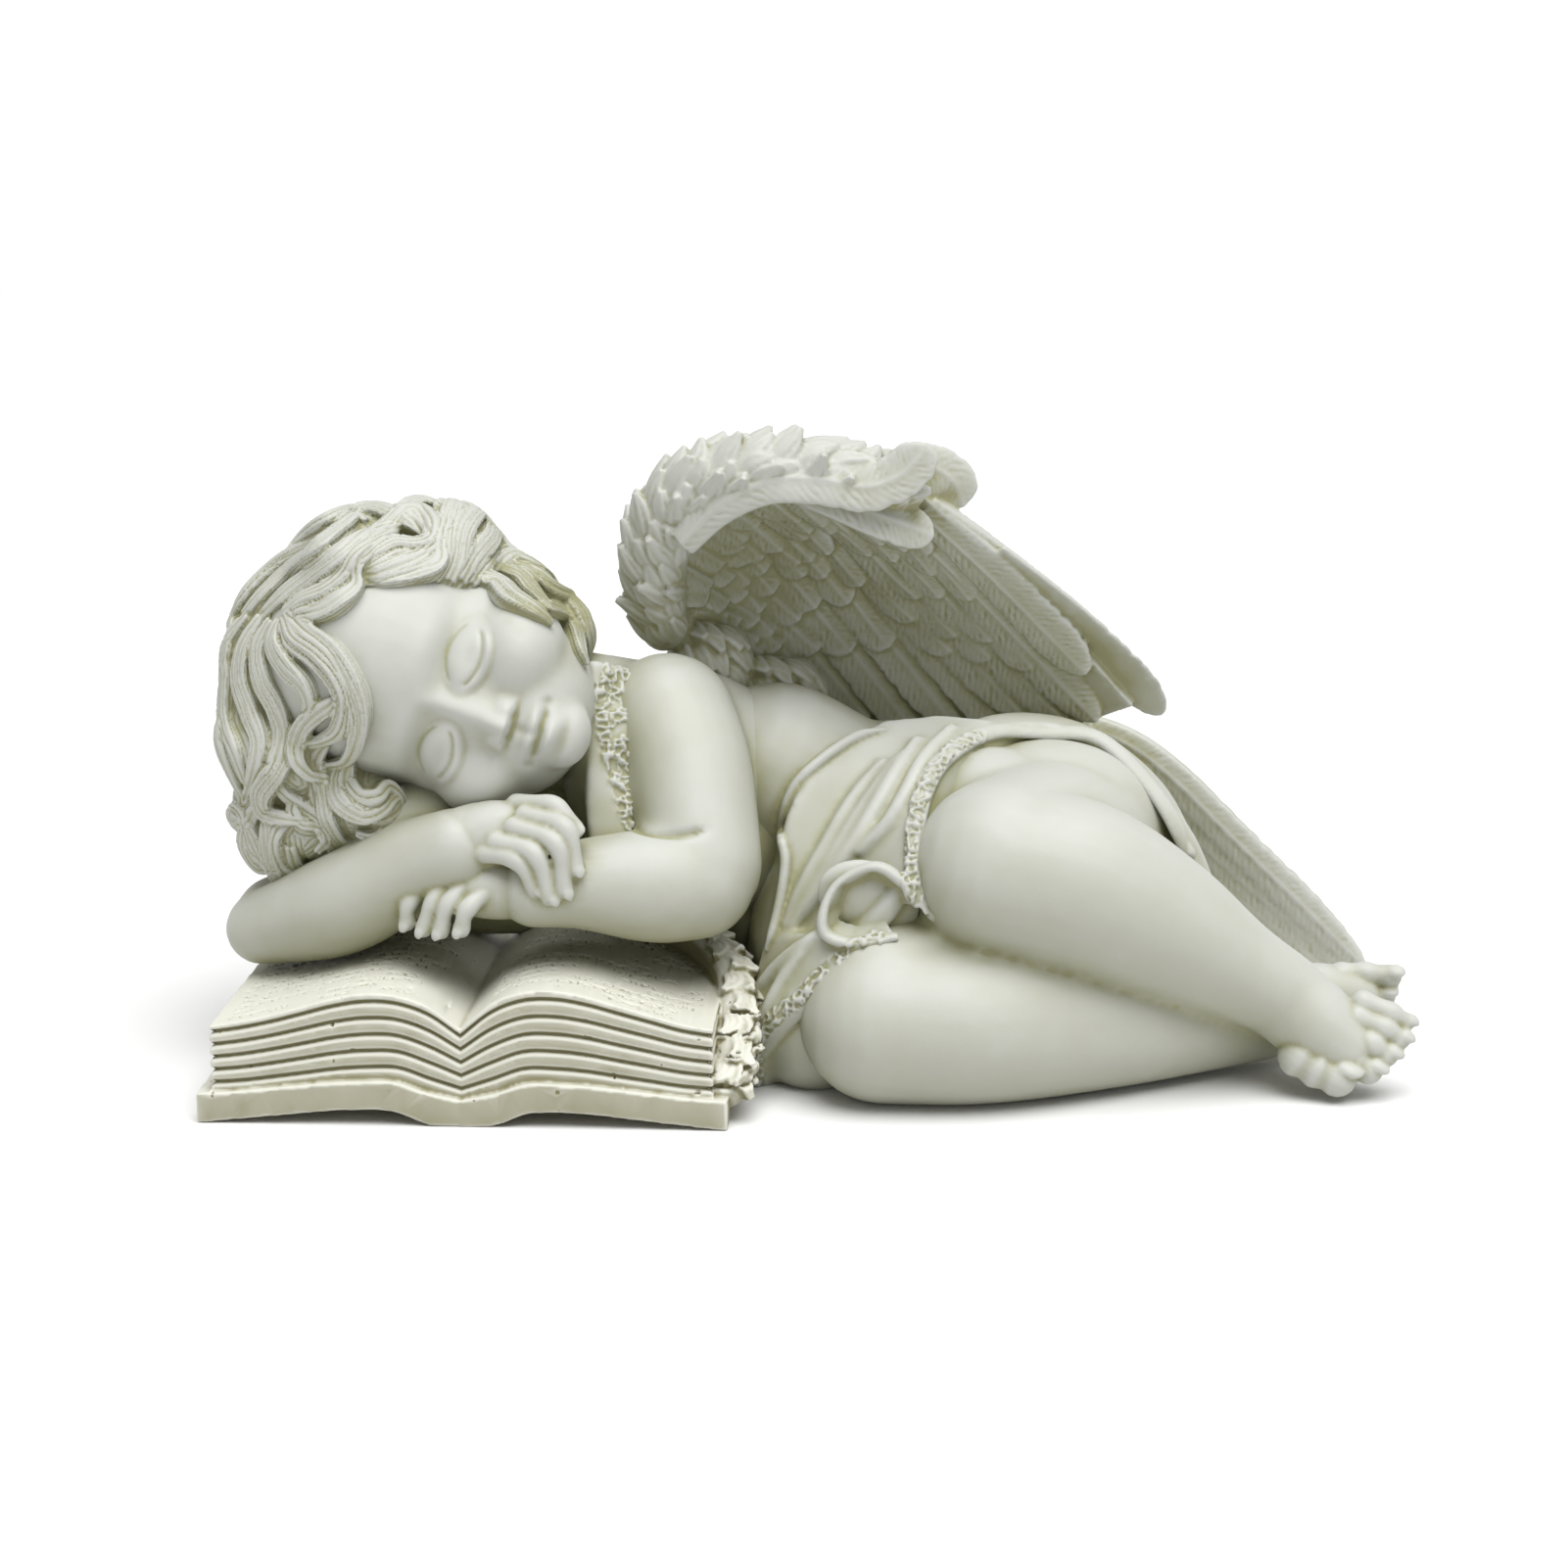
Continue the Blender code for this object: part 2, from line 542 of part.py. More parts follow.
def tufts(bm):
    """Small coverts round the rolled leading edge, with their tips outward."""
    path = np.array(WING_ROLL, float)
    inside = Net(UPPER_WING).point(0.5, 0.5)
    for k in range(11):
        share = 0.02 + k / 11
        x, y, z, radius = on_curve(path, share)
        centre = Vector((x, y, z))
        ahead = Vector(on_curve(path, share + 0.03)[:3] - on_curve(path, share - 0.03)[:3]).normalized()
        front = (Vector((0, -1, 0)) + ahead * ahead.y).normalized()
        outward = (centre - inside - ahead * ahead.dot(centre - inside)).normalized()
        outward = (outward - front * outward.dot(front)).normalized()
        for row, degrees in enumerate((-40, 0, 40, 80, 125)):
            angle = math.radians(degrees + (15 if k % 2 else 0))
            facing = front * math.cos(angle) + outward * math.sin(angle)
            way = (ahead * 0.8 - front * math.sin(angle) * 0.5 + outward * math.cos(angle) * 0.5).normalized()
            leaf(bm, centre + facing * (radius - 1.8), way, facing, 14, 9.5, 3.2, 0.14)


def rear_wing(bm):
    """The folded right wing behind the legs, with its tips on the ground."""
    net = Net(REAR_WING)
    shell(bm, net, lambda s, t: 6.0 - 2.5 * t)
    for side in (-1, 1):
        for k in range(5):
            s = 0.06 + 0.22 * k
            feather(bm, net, side, (s, 0.35), (s, 1.0 - 0.03 * k), 13, 3.0, 1.2, 8)
        for row in range(3):
            for k in range(5):
                s = 0.05 + 0.21 * (k + 0.5 * (row % 2))
                feather(bm, net, side, (s, 0.02 + 0.13 * row), (s, 0.26 + 0.13 * row), 13, 2.6, 1.6)


def ribbon(bm, stations, half_width, half_thickness, facing, count=None):
    """A flat band along a smooth curve."""
    path = curve(stations, count or 4 * len(stations))
    sweep(bm, path, [(half_width, half_thickness)] * len(path), facing)


def dress(bm):
    """The dress from under the arm to the thigh and the ground, with its folds, rims and turned-over hem."""
    bodice = Net(
        [
            [(30, 10, 96), (11, -5, 89), (1, -16, 76), (-1, -22, 63), (-3, -26, 49), (-4, -28, 33)],
            [(47, 10, 98), (28, -8, 84), (17, -20, 69), (10, -28, 54), (1, -32, 33), (-4, -32, 24)],
            [(61, 2, 97), (46, -18, 90), (39, -32, 79), (37, -42, 65), (30, -46, 55), (18, -46, 46)],
        ]
    )
    shell(bm, bodice, lambda s, t: 7.0, 20, 16, folds)
    skirt = Net(
        [
            [(-3, -27, 44), (-6, -28, 30), (-9, -27, 15), (-9, -24, -2)],
            [(14, -44, 47), (3, -42, 33), (-6, -38, 18), (-9, -31, -2)],
            [(29, -50, 49), (14, -51, 37), (-1, -47, 21), (-6, -36, -2)],
        ]
    )
    shell(bm, skirt, lambda s, t: 7.0, 8, 8)
    hip = Net(
        [
            [(40, -34, 78), (47, -18, 93), (66, 0, 97), (88, 3, 94), (107, -5, 81), (119, -14, 62)],
            [(40, -16, 84), (52, 4, 95), (70, 18, 97), (92, 20, 92), (112, 12, 77), (123, 4, 56)],
            [(44, 10, 90), (60, 32, 88), (78, 40, 86), (96, 42, 78), (112, 40, 62), (118, 36, 42)],
        ]
    )
    shell(bm, hip, lambda s, t: 4.0, 8, 20)
    ball(bm, (88, 26, 54), (30, 28, 37))
    limb(bm, [(-2, 18, 78, 30), (20, 22, 64, 32.5), (52, 24, 60, 35), (84, 26, 56, 36)], 24)
    ball(bm, (18, 4, 40), (32, 28, 38))
    ball(bm, (5, -5, 30), (16, 26, 34))
    ball(bm, (9, -28, 18), (19, 22, 22))
    ribbon(bm, THIGH_RIM, 3.4, 1.8, Vector((0.2, -0.5, 0.8)))
    ribbon(bm, SKIRT_HEM, 3.4, 2.0, Vector((0.2, -1.0, 0.3)))
    ribbon(bm, COWL, 2.0, 2.0, Vector((0.0, -1.0, 0.0)))
    ball(bm, (24, -43, 57), (15, 5, 11), Matrix.Rotation(math.radians(20), 3, "Y"))
    limb(bm, [(30, 8, 96, 2.2), (20, 1, 94, 2.4), (9, -7, 88, 2.4), (0, -18, 76, 2.2), (-2, -24, 63, 2.0)], 8)
    collar = Net(
        [
            [(-57, -12, 121), (-56, -20, 103), (-57, -28, 84), (-55, -34, 68)],
            [(-40, -4, 114), (-44, -14, 99), (-42, -26, 82), (-44, -34, 68)],
        ]
    )
    shell(bm, collar, lambda s, t: 6.0, 6, 10)
    ball(bm, (-50, -6, 88), (15, 20, 26))


def folds(s, t):
    """Height of the bodice's pulled folds: long ridges that fan out from the hip."""
    height = 0.0
    for place, drift, high in ((0.22, -0.04, 2.0), (0.45, 0.02, 2.6), (0.64, 0.0, 2.2), (0.82, 0.04, 2.6)):
        across = (s - place - drift * math.sin(3.0 * t)) / 0.055
        height += high * math.exp(-across * across) * min(1.0, 6.0 * t + 0.4)
    return height


def book_height(stations, share):
    return float(on_curve(np.array(stations, float), share))


def page_block(grow=0.0, columns=8, levels=PAGE_GROOVES):
    """The pages, as wide as they open, with a groove between every two bundles of them.

    With grow they are a smooth block that much larger, to keep the figure clear of them.
    """
    bm = bmesh.new()
    heights = 1 if grow else 2 * levels
    front, back = PAGE_INSET - grow, BOOK_DEPTH - PAGE_INSET + grow
    rings = []
    for level in range(heights + 1):
        up = level / heights
        groove = GROOVE_DEPTH if level % 2 and not grow else 0.0
        ring = []
        for depth, order in ((front + groove, 1), (back - groove, -1)):
            for i in range(-columns, columns + 1):
                share = order * i / columns
                pages = LEFT_PAGES if share < 0 else RIGHT_PAGES
                low = book_height(COVER_TOP, abs(share)) - 1.0
                high = book_height(pages, abs(share)) + grow
                across = share * (PAGE_HALF_WIDTH + grow - groove)
                ring.append(bm.verts.new((across, depth, low + (high - low) * up)))
        rings.append(ring)
    close_rings(bm, rings, columns)
    return bm


def close_rings(bm, rings, columns):
    """Walls between rings that run along the front and back along the rear, and strips over both ends."""
    for lower, upper in zip(rings, rings[1:]):
        for i, vertex in enumerate(lower):
            j = (i + 1) % len(lower)
            bm.faces.new((vertex, lower[j], upper[j], upper[i]))
    count = 4 * columns + 2
    for i in range(2 * columns):
        j = count - 1 - i
        bm.faces.new((rings[-1][i], rings[-1][i + 1], rings[-1][j - 1], rings[-1][j]))
        bm.faces.new((rings[0][i + 1], rings[0][i], rings[0][j], rings[0][j - 1]))


def cover(grow=0.0, columns=8):
    """The open cover, arched off the ground between the spine and its edges."""
    bm = bmesh.new()
    rings = []
    for heights, sign in ((COVER_UNDER, -1), (COVER_TOP, 1)):
        ring = []
        for depth, order in ((-grow, 1), (BOOK_DEPTH + grow, -1)):
            for i in range(-columns, columns + 1):
                share = order * i / columns
                high = book_height(heights, abs(share)) + sign * grow
                ring.append(bm.verts.new((share * (COVER_HALF_WIDTH + grow), depth, high)))
        rings.append(ring)
    close_rings(bm, rings, columns)
    return bm


def place_book(obj):
    obj.location = (BOOK_SPINE - ORIGIN) * UNIT
    obj.rotation_euler.z = BOOK_TURN
    obj.scale = (UNIT, UNIT, UNIT)


def border(bm, grow=0.0):
    """The border's roll."""
    stations = [(x, y, z, radius + grow) for x, y, z, radius in BORDER]
    limb(bm, stations, 10, 10)


def border_leaves(bm):
    """Carved leaves that curl over the border's roll, within its thickness."""
    path = np.array(BORDER, float)
    for k in range(7):
        share = 0.04 + k / 7.4
        x, y, z, radius = on_curve(path, share)
        ahead = Vector(on_curve(path, share + 0.05)[:3] - on_curve(path, share - 0.05)[:3]).normalized()
        for facing in (Vector((0.2, -0.3, 1.0)), Vector((1.0, -0.6, 0.2))):
            facing = (facing - ahead * ahead.dot(facing)).normalized()
            side = ahead.cross(facing) * (1 if k % 2 else -1)
            way = (ahead + side * 0.8).normalized()
            leaf(bm, Vector((x, y, z)) - side * 3 + facing * (radius - 2.2), way, facing, 11, 7, 3.0, 0.1)


def mesh_object(name, bm):
    mesh = bpy.data.meshes.new(name)
    bm.to_mesh(mesh)
    bm.free()
    obj = bpy.data.objects.new(name, mesh)
    bpy.context.scene.collection.objects.link(obj)
    return obj


def evaluated_mesh(obj):
    graph = bpy.context.evaluated_depsgraph_get()
    return bpy.data.meshes.new_from_object(obj.evaluated_get(graph))


def fused(name, bm, voxel, smoothing):
    """The overlapping closed shapes of bm as one surface, a little smoothed where they meet."""
    obj = mesh_object(name, bm)
    remesh = obj.modifiers.new("One surface", "REMESH")
    remesh.mode = "VOXEL"
    remesh.voxel_size = voxel
    if smoothing:
        soften = obj.modifiers.new("Blend", "SMOOTH")
        soften.factor = 0.5
        soften.iterations = smoothing
    mesh = evaluated_mesh(obj)
    bpy.data.objects.remove(obj)
    return mesh


def keep_outer_skin(mesh):
    """Removes every loose shell but the largest, such as the walls of pockets sealed inside."""
    bm = bmesh.new()
    bm.from_mesh(mesh)
    unseen = set(bm.verts)
    largest = []
    while unseen:
        found = [unseen.pop()]
        for vertex in found:
            for edge in vertex.link_edges:
                other = edge.other_vert(vertex)
                if other in unseen:
                    unseen.remove(other)
                    found.append(other)
        if len(found) > len(largest):
            largest = found
    keep = set(largest)
    bmesh.ops.delete(bm, geom=[v for v in bm.verts if v not in keep], context="VERTS")
    bm.to_mesh(mesh)
    bm.free()


def material(name, colour):
    made = bpy.data.materials.new(name)
    made.use_nodes = True
    shader = made.node_tree.nodes["Principled BSDF"]
    shader.inputs["Base Color"].default_value = (*colour, 1.0)
    shader.inputs["Roughness"].default_value = 0.65
    shader.inputs["Metallic"].default_value = 0.0
    return made


def skin():
    bm = bmesh.new()
    head(bm)
    torso(bm)
    legs(bm)
    arms(bm)
    mesh = fused("skin", bm, SKIN_VOXEL, 4)
    shape_face(mesh)
    return mesh


def cutter(name, bm):
    """A hidden helper that is taken away from the figure."""
    obj = mesh_object(name, bm)
    obj.hide_render = True
    obj.display_type = "WIRE"
    return obj


def angel():
    bm = bmesh.new()
    bm.from_mesh(skin())
    hands(bm)
    feet(bm)
    hair(bm)
    dress(bm)
    upper_wing(bm)
    rear_wing(bm)
    mesh = fused("angel", bm, FINE_VOXEL, 1)
    keep_outer_skin(mesh)
    obj = bpy.data.objects.new("angel", mesh)
    bpy.context.scene.collection.objects.link(obj)
    obj.location = -ORIGIN * UNIT
    obj.scale = (UNIT, UNIT, UNIT)
    thin = obj.modifiers.new("Facets", "DECIMATE")
    thin.ratio = FIGURE_TRIANGLES / (2 * len(mesh.polygons))
    floor = bmesh.new()
    under = Matrix.Translation((0, 0, -GROUND_BLOCK[2] / 2)) @ Matrix.Diagonal((*GROUND_BLOCK, 1))
    bmesh.ops.create_cube(floor, size=1.0, matrix=under)
    floor = cutter("below_ground", floor)
    pages = cutter("room_for_pages", page_block(CLEARANCE))
    boards = cutter("room_for_cover", cover(CLEARANCE))
    edge = bmesh.new()
    border(edge, LEAF_HEIGHT + CLEARANCE)
    edge = cutter("room_for_border", edge)
    for helper in (pages, boards):
        place_book(helper)
    for helper in (floor, edge):
        helper.location = -ORIGIN * UNIT
        helper.scale = (UNIT, UNIT, UNIT)
    for helper in (floor, pages, boards, edge):
        cut = obj.modifiers.new(helper.name, "BOOLEAN")
        cut.operation = "DIFFERENCE"
        cut.solver = "EXACT"
        cut.object = helper
    obj.data.materials.clear()
    obj.data.materials.append(material("cast_stone", (0.62, 0.64, 0.57)))
    return obj


def open_book():
    obj = mesh_object("open_book", page_block())
    place_book(obj)
    boards = cutter("book_cover", cover())
    place_book(boards)
    edge = bmesh.new()
    border(edge)
    border_leaves(edge)
    edge = cutter("book_border", edge)
    edge_mesh = edge.modifiers.new("One surface", "REMESH")
    edge_mesh.mode = "VOXEL"
    edge_mesh.voxel_size = 1.2
    thin = edge.modifiers.new("Facets", "DECIMATE")
    thin.ratio = 0.06
    edge.location = -ORIGIN * UNIT
    edge.scale = (UNIT, UNIT, UNIT)
    for helper in (boards, edge):
        joined = obj.modifiers.new(helper.name, "BOOLEAN")
        joined.operation = "UNION"
        joined.solver = "EXACT"
        joined.object = helper
    obj.data.materials.append(material("cast_stone_cream", (0.66, 0.65, 0.54)))
    return obj


def main():
    for old in list(bpy.data.objects):
        bpy.data.objects.remove(old)
    angel()
    open_book()


if __name__ == "__main__":
    main()
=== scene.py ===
"""Looks of the sleeping winged child on its open book: fine carving, painted cast stone, floor and light.

The carving is worked out in the figure's own frame, in millimetres, with the same sizes as the solids.
Curves that follow the carving seen from the front are (across, up) in the camera's view, in millimetres.
"""

import math

import bpy
import numpy as np
from mathutils import Matrix, Vector
from mathutils.bvhtree import BVHTree
from mathutils.kdtree import KDTree


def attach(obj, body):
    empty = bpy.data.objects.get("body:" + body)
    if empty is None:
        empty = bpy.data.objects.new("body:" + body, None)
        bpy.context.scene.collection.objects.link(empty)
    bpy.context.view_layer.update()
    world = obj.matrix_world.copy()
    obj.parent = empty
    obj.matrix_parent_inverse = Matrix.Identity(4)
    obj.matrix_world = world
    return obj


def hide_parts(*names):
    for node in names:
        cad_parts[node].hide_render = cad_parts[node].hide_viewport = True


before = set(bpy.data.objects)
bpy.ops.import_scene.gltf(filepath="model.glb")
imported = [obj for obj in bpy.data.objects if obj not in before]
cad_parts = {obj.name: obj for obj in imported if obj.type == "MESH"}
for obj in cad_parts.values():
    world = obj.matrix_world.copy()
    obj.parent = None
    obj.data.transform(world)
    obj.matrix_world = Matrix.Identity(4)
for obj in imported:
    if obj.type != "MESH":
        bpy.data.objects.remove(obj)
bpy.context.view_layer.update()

MILLIMETRE = 0.001
ORIGIN = np.array([7.4, -6.65, 0.0])  # the row's origin in the figure's frame

# The camera: its distance from the aim point, the aim's height and its look down.
CAMERA_DISTANCE = 836.0
AIM_HEIGHT = 81.1
CAMERA_TILT = math.radians(13)
CAMERA_LENS = 65.0

# The head's own frame: X to the figure's left, -Y out of the face, Z to the crown.
HEAD_CENTRE = np.array([-107.0, -4.0, 117.0])
HEAD_ROLL = math.radians(-72.5)
HEAD_TURN = np.array(Matrix.Rotation(HEAD_ROLL, 3, "Y"))
EYE_OUT = 14.5
EYE_HEIGHT = -15.5
NOSE_TOP = -6.0
NOSE_BASE = -32.5
MOUTH_HEIGHT = -40.5
HAIR_CENTRE = np.array([-8.0, 10.0, 17.0])
HAIR_RADIUS = 39.0

# Triangles of each fine piece.
TRIANGLES = {
    "angel_head": 90000,
    "angel_hair": 195000,
    "angel_body": 120000,
    "angel_dress": 150000,
    "angel_wing_raised": 195000,
    "angel_wing_folded": 90000,
    "open_book_carved": 150000,
}

# Locks of hair seen from the front: width, lift, and the way from root to tip.
LOCKS = [
    (7, 0.5, [
        (-161.5, 51), (-166, 43), (-169.5, 34.5), (-170, 24.5),
        (-167.5, 15), (-163.5, 5), (-159.5, -4.5),
    ]),
    (7, 1.0, [
        (-158, 50), (-163, 41.5), (-165.5, 30.5),
        (-164.5, 20), (-161.5, 10.5), (-158.5, 0.5),
    ]),
    (7, 1.5, [
        (-154, 49.5), (-158.5, 40.5), (-159.5, 30.5), (-156.5, 21),
        (-154, 13), (-156, 4), (-158, -3),
    ]),
    (7, 2.0, [
        (-151, 48.5), (-154.5, 39.5), (-153, 30.5), (-149, 23),
        (-147.5, 15), (-150, 6), (-154, -3),
    ]),
    (7, 2.5, [
        (-148.5, 48.5), (-150, 41.5), (-145.5, 34.5),
        (-140.5, 29), (-139, 23), (-142.5, 17.5),
    ]),
    (8, 3.5, [
        (-147, 49.5), (-144, 43), (-137, 38.5), (-131, 32.5),
        (-128, 25.5), (-130, 17.5), (-135, 14), (-141.5, 12),
    ]),
    (7, 4.5, [
        (-145, 49.5), (-139.5, 44), (-132.5, 38.5), (-127, 30.5),
        (-124.5, 22), (-125.5, 14), (-129, 8.5), (-134.5, 7),
    ]),
    (6, 5.5, [
        (-128, 27), (-134.5, 23), (-140.5, 18.5), (-143, 13),
        (-143.5, 7.5), (-140.5, 3.5), (-137.5, 3),
    ]),
    (7, 3.5, [
        (-141.5, 17.5), (-145.5, 11.5), (-149.5, 4), (-153, -2),
        (-152, -7.5), (-146.5, -10), (-141.5, -11),
    ]),
    (6, 3.0, [
        (-135, 13), (-138, 7), (-135, -1), (-133.5, -9),
        (-129, -15.5), (-123, -15.5), (-117.5, -12),
    ]),
    (6, 4.5, [(-130, 7.5), (-131.5, 0.5), (-130, -5.5), (-124.5, -9), (-119.5, -7.5), (-116, -4)]),
    (5, 5.0, [
        (-127.5, 5), (-127.5, 0), (-125, -4), (-121, -4),
        (-118.5, -1), (-115, -4), (-114.5, -7.5),
    ]),
    (5, 5.5, [(-114.5, -6.5), (-117.5, -11), (-122, -13.5), (-126.5, -12.5)]),
    (6, 2.5, [(-138.5, 0), (-137, -7.5), (-134.5, -14.5), (-130, -19.5), (-124.5, -19)]),
    (7, 2.0, [(-157.5, -3), (-161.5, -9), (-162, -15.5), (-158.5, -21.5), (-156, -27), (-153, -31)]),
    (6, 2.5, [(-154, -4), (-157, -11), (-157.5, -17), (-154, -23.5), (-152, -28.5)]),
    (7, 3.5, [
        (-152, -6.5), (-151.5, -14.5), (-150, -22.5), (-145.5, -27.5),
        (-138.5, -28), (-132.5, -24), (-130, -20.5),
    ]),
    (5, 3.5, [
        (-146.5, -10), (-149.5, -15.5), (-148.5, -21.5),
        (-144, -25), (-138, -24), (-134.5, -20.5),
    ]),
    (5, 3.0, [(-150, 0.5), (-146, -3), (-140.5, -6.5), (-136, -10), (-135, -15.5), (-138, -19.5)]),
    (4, 3.0, [(-140.5, -3), (-144, -4.5), (-144.5, -8), (-141.5, -12), (-137, -12.5)]),
    (8, 0.5, [(-163.5, 46), (-158, 55.5), (-150, 63.5), (-141.5, 69.5), (-132.5, 74)]),
    (7, 1.5, [
        (-159, 49.5), (-153, 55.5), (-145, 62.5), (-137, 69),
        (-130, 75), (-126.5, 78), (-123, 77),
    ]),
    (7, 2.0, [
        (-153, 50), (-146.5, 55.5), (-139.5, 60), (-132.5, 65.5),
        (-128, 69.5), (-123, 73), (-115.5, 75),
    ]),
    (8, 3.0, [
        (-147.5, 50), (-141.5, 53), (-134.5, 55.5), (-129, 60),
        (-126.5, 65.5), (-122, 69.5), (-114, 72.5),
    ]),
    (6, 4.5, [(-142.5, 49.5), (-136, 50), (-130, 53), (-125.5, 57.5), (-126, 62.5)]),
    (7, 3.5, [
        (-126.5, 66), (-123, 70.5), (-117.5, 74), (-113, 77.5),
        (-108.5, 78.5), (-104.5, 74), (-104, 69),
    ]),
    (8, 4.0, [
        (-126.5, 63.5), (-121, 67), (-115.5, 69), (-109.5, 68),
        (-104.5, 69.5), (-103.5, 75), (-107, 79.5), (-111.5, 79.5),
    ]),
    (6, 4.5, [(-124.5, 61.5), (-119.5, 61.5), (-113, 63.5), (-107, 65.5), (-104, 68)]),
    (6, 4.5, [(-123, 59.5), (-115.5, 60), (-108.5, 61), (-102.5, 63.5), (-101.5, 69.5), (-100, 75)]),
    (7, 4.5, [(-103.5, 60), (-101, 66), (-100, 73), (-98.5, 79.5), (-94.5, 83), (-90, 82)]),
    (7, 4.5, [(-99, 60), (-97, 66), (-96, 72.5), (-93, 77.5), (-89, 80.5), (-85.5, 77)]),
    (6, 5.0, [
        (-100.5, 76), (-101.5, 80.5), (-98, 84), (-92.5, 84),
        (-87.5, 80.5), (-84.5, 76), (-86.5, 72.5),
    ]),
    (7, 4.0, [(-95.5, 60), (-92.5, 65.5), (-89, 70.5), (-85, 74), (-80.5, 71.5), (-75, 67)]),
    (6, 3.5, [(-92.5, 59), (-89, 64.5), (-84.5, 69), (-79.5, 68), (-74.5, 63.5)]),
    (6, 2.5, [(-91, 61.5), (-86.5, 63.5), (-81, 66), (-75, 63.5), (-69, 61), (-64, 59)]),
    (8, 3.0, [(-90, 61.5), (-84.5, 58), (-80.5, 53.5), (-74, 50), (-69, 46.5)]),
    (7, 3.0, [(-84, 63.5), (-78.5, 60), (-75, 54.5), (-70.5, 51), (-64.5, 48.5)]),
    (8, 2.5, [(-78.5, 64.5), (-74, 61), (-69.5, 56.5), (-64.5, 54.5), (-63.5, 58)]),
    (7, 2.0, [(-72.5, 57.5), (-66, 54.5), (-61.5, 50), (-59, 44), (-57.5, 36)]),
    (7, 2.5, [(-73, 52), (-67, 50), (-63.5, 45), (-61.5, 39.5), (-59, 34.5)]),
    (8, 1.0, [(-150, 66), (-142, 72), (-134, 77), (-126, 81), (-117, 82)]),
    (7, 1.5, [(-131, 77), (-124, 80.5), (-116, 79), (-110, 76)]),
    (6, 2.5, [(-118, 74), (-112, 80), (-106, 83), (-101, 80)]),
    (7, 3.0, [(-117, 78.5), (-113, 78), (-109, 76), (-105.5, 72.5)]),
    (6, 3.0, [(-128, 8), (-129, 0), (-125, -7), (-119, -9), (-115, -6), (-114, -1)]),
    (6, 2.5, [(-136, -8), (-133, -15), (-127, -17), (-121, -14), (-117, -9)]),
    (6, 2.0, [(-146, -18), (-143, -24), (-137, -25), (-131, -22), (-126, -17)]),
    (6, 2.0, [(-162, -6), (-165, -13), (-163, -21), (-158, -28), (-152, -33), (-146, -33)]),
]
BACK_LOCKS = 25
BACK_REACH = 125  # degrees to each side of the way over the back of the head
BACK_CENTRE = (-4, 10, 5)
# Thick parts of the hair under the locks, in the head's own frame: centre and radii.
HAIR_MASSES = [
    ((25, -12, 20), (11, 14, 19)),
    ((29, -4, 0), (11, 17, 16)),
    ((27, 4, -18), (11, 15, 16)),
    ((20, 8, -36), (11, 14, 12)),
    ((-32, -8, 26), (17, 20, 22)),
    ((-49, -4, 27), (13, 13, 14)),
    ((-42, -8, 8), (14, 15, 12)),
    ((-57, -4, 19), (14, 14, 17)),
    ((27, 0, 22), (12, 17, 19)),
    ((35, 2, 2), (11, 16, 15)),
    ((34, 6, 13), (11, 15, 12)),
    ((-38, -20, 3), (11, 11, 12)),
    ((-50, -14, 16), (11, 12, 14)),
    ((-2, 14, -6), (37, 38, 34)),
]

# Knuckle, middle joint and tip of each finger: the right hand on top, the left hand on the book.
RIGHT_FINGERS = [
    ((-85, -49, 73), (-74, -55, 72), (-69, -55, 64)),
    ((-80, -50, 76), (-69, -56, 74), (-65, -56, 62)),
    ((-75, -49, 80), (-63, -56, 77), (-61, -56, 64)),
    ((-72, -47, 83), (-60.5, -54, 81), (-58, -55, 70)),
    ((-75, -42, 85), (-64, -48, 86), (-58, -51, 80)),
]
LEFT_FINGERS = [
    ((-97, -43, 66), (-105, -47, 58), (-106, -47, 52)),
    ((-92, -45, 66), (-98, -50, 59), (-101, -50, 51)),
    ((-87, -47, 65), (-93.5, -52, 59), (-96, -52, 51)),
    ((-81, -49, 63), (-88, -54, 58), (-90, -54, 52)),
]


def unit(vectors):
    return vectors / np.maximum(np.linalg.norm(vectors, axis=-1, keepdims=True), 1e-9)


def spline(known, shares):
    """Points at these shares of the smooth curve through the known points, straight on past its ends."""
    known = np.asarray(known, float)
    shares = np.asarray(shares, float)
    last = len(known) - 1
    inside = np.clip(shares, 0, 1)
    i = np.minimum((inside * last).astype(int), last - 1)
    t = (inside * last - i).reshape((-1,) + (1,) * (known.ndim - 1))
    padded = np.concatenate([[2 * known[0] - known[1]], known, [2 * known[-1] - known[-2]]])
    a, b, c, d = padded[i], padded[i + 1], padded[i + 2], padded[i + 3]
    point = 0.5 * (2 * b + (c - a) * t + (2 * a - 5 * b + 4 * c - d) * t**2 + (3 * b - a - 3 * c + d) * t**3)
    return point + ((shares - inside) * last).reshape(t.shape) * (c - b)


def curve(known, count):
    return spline(known, np.linspace(0, 1, count))


def smooth_step(value, low, high):
    share = np.clip((value - low) / (high - low), 0, 1)
    return share * share * (3 - 2 * share)


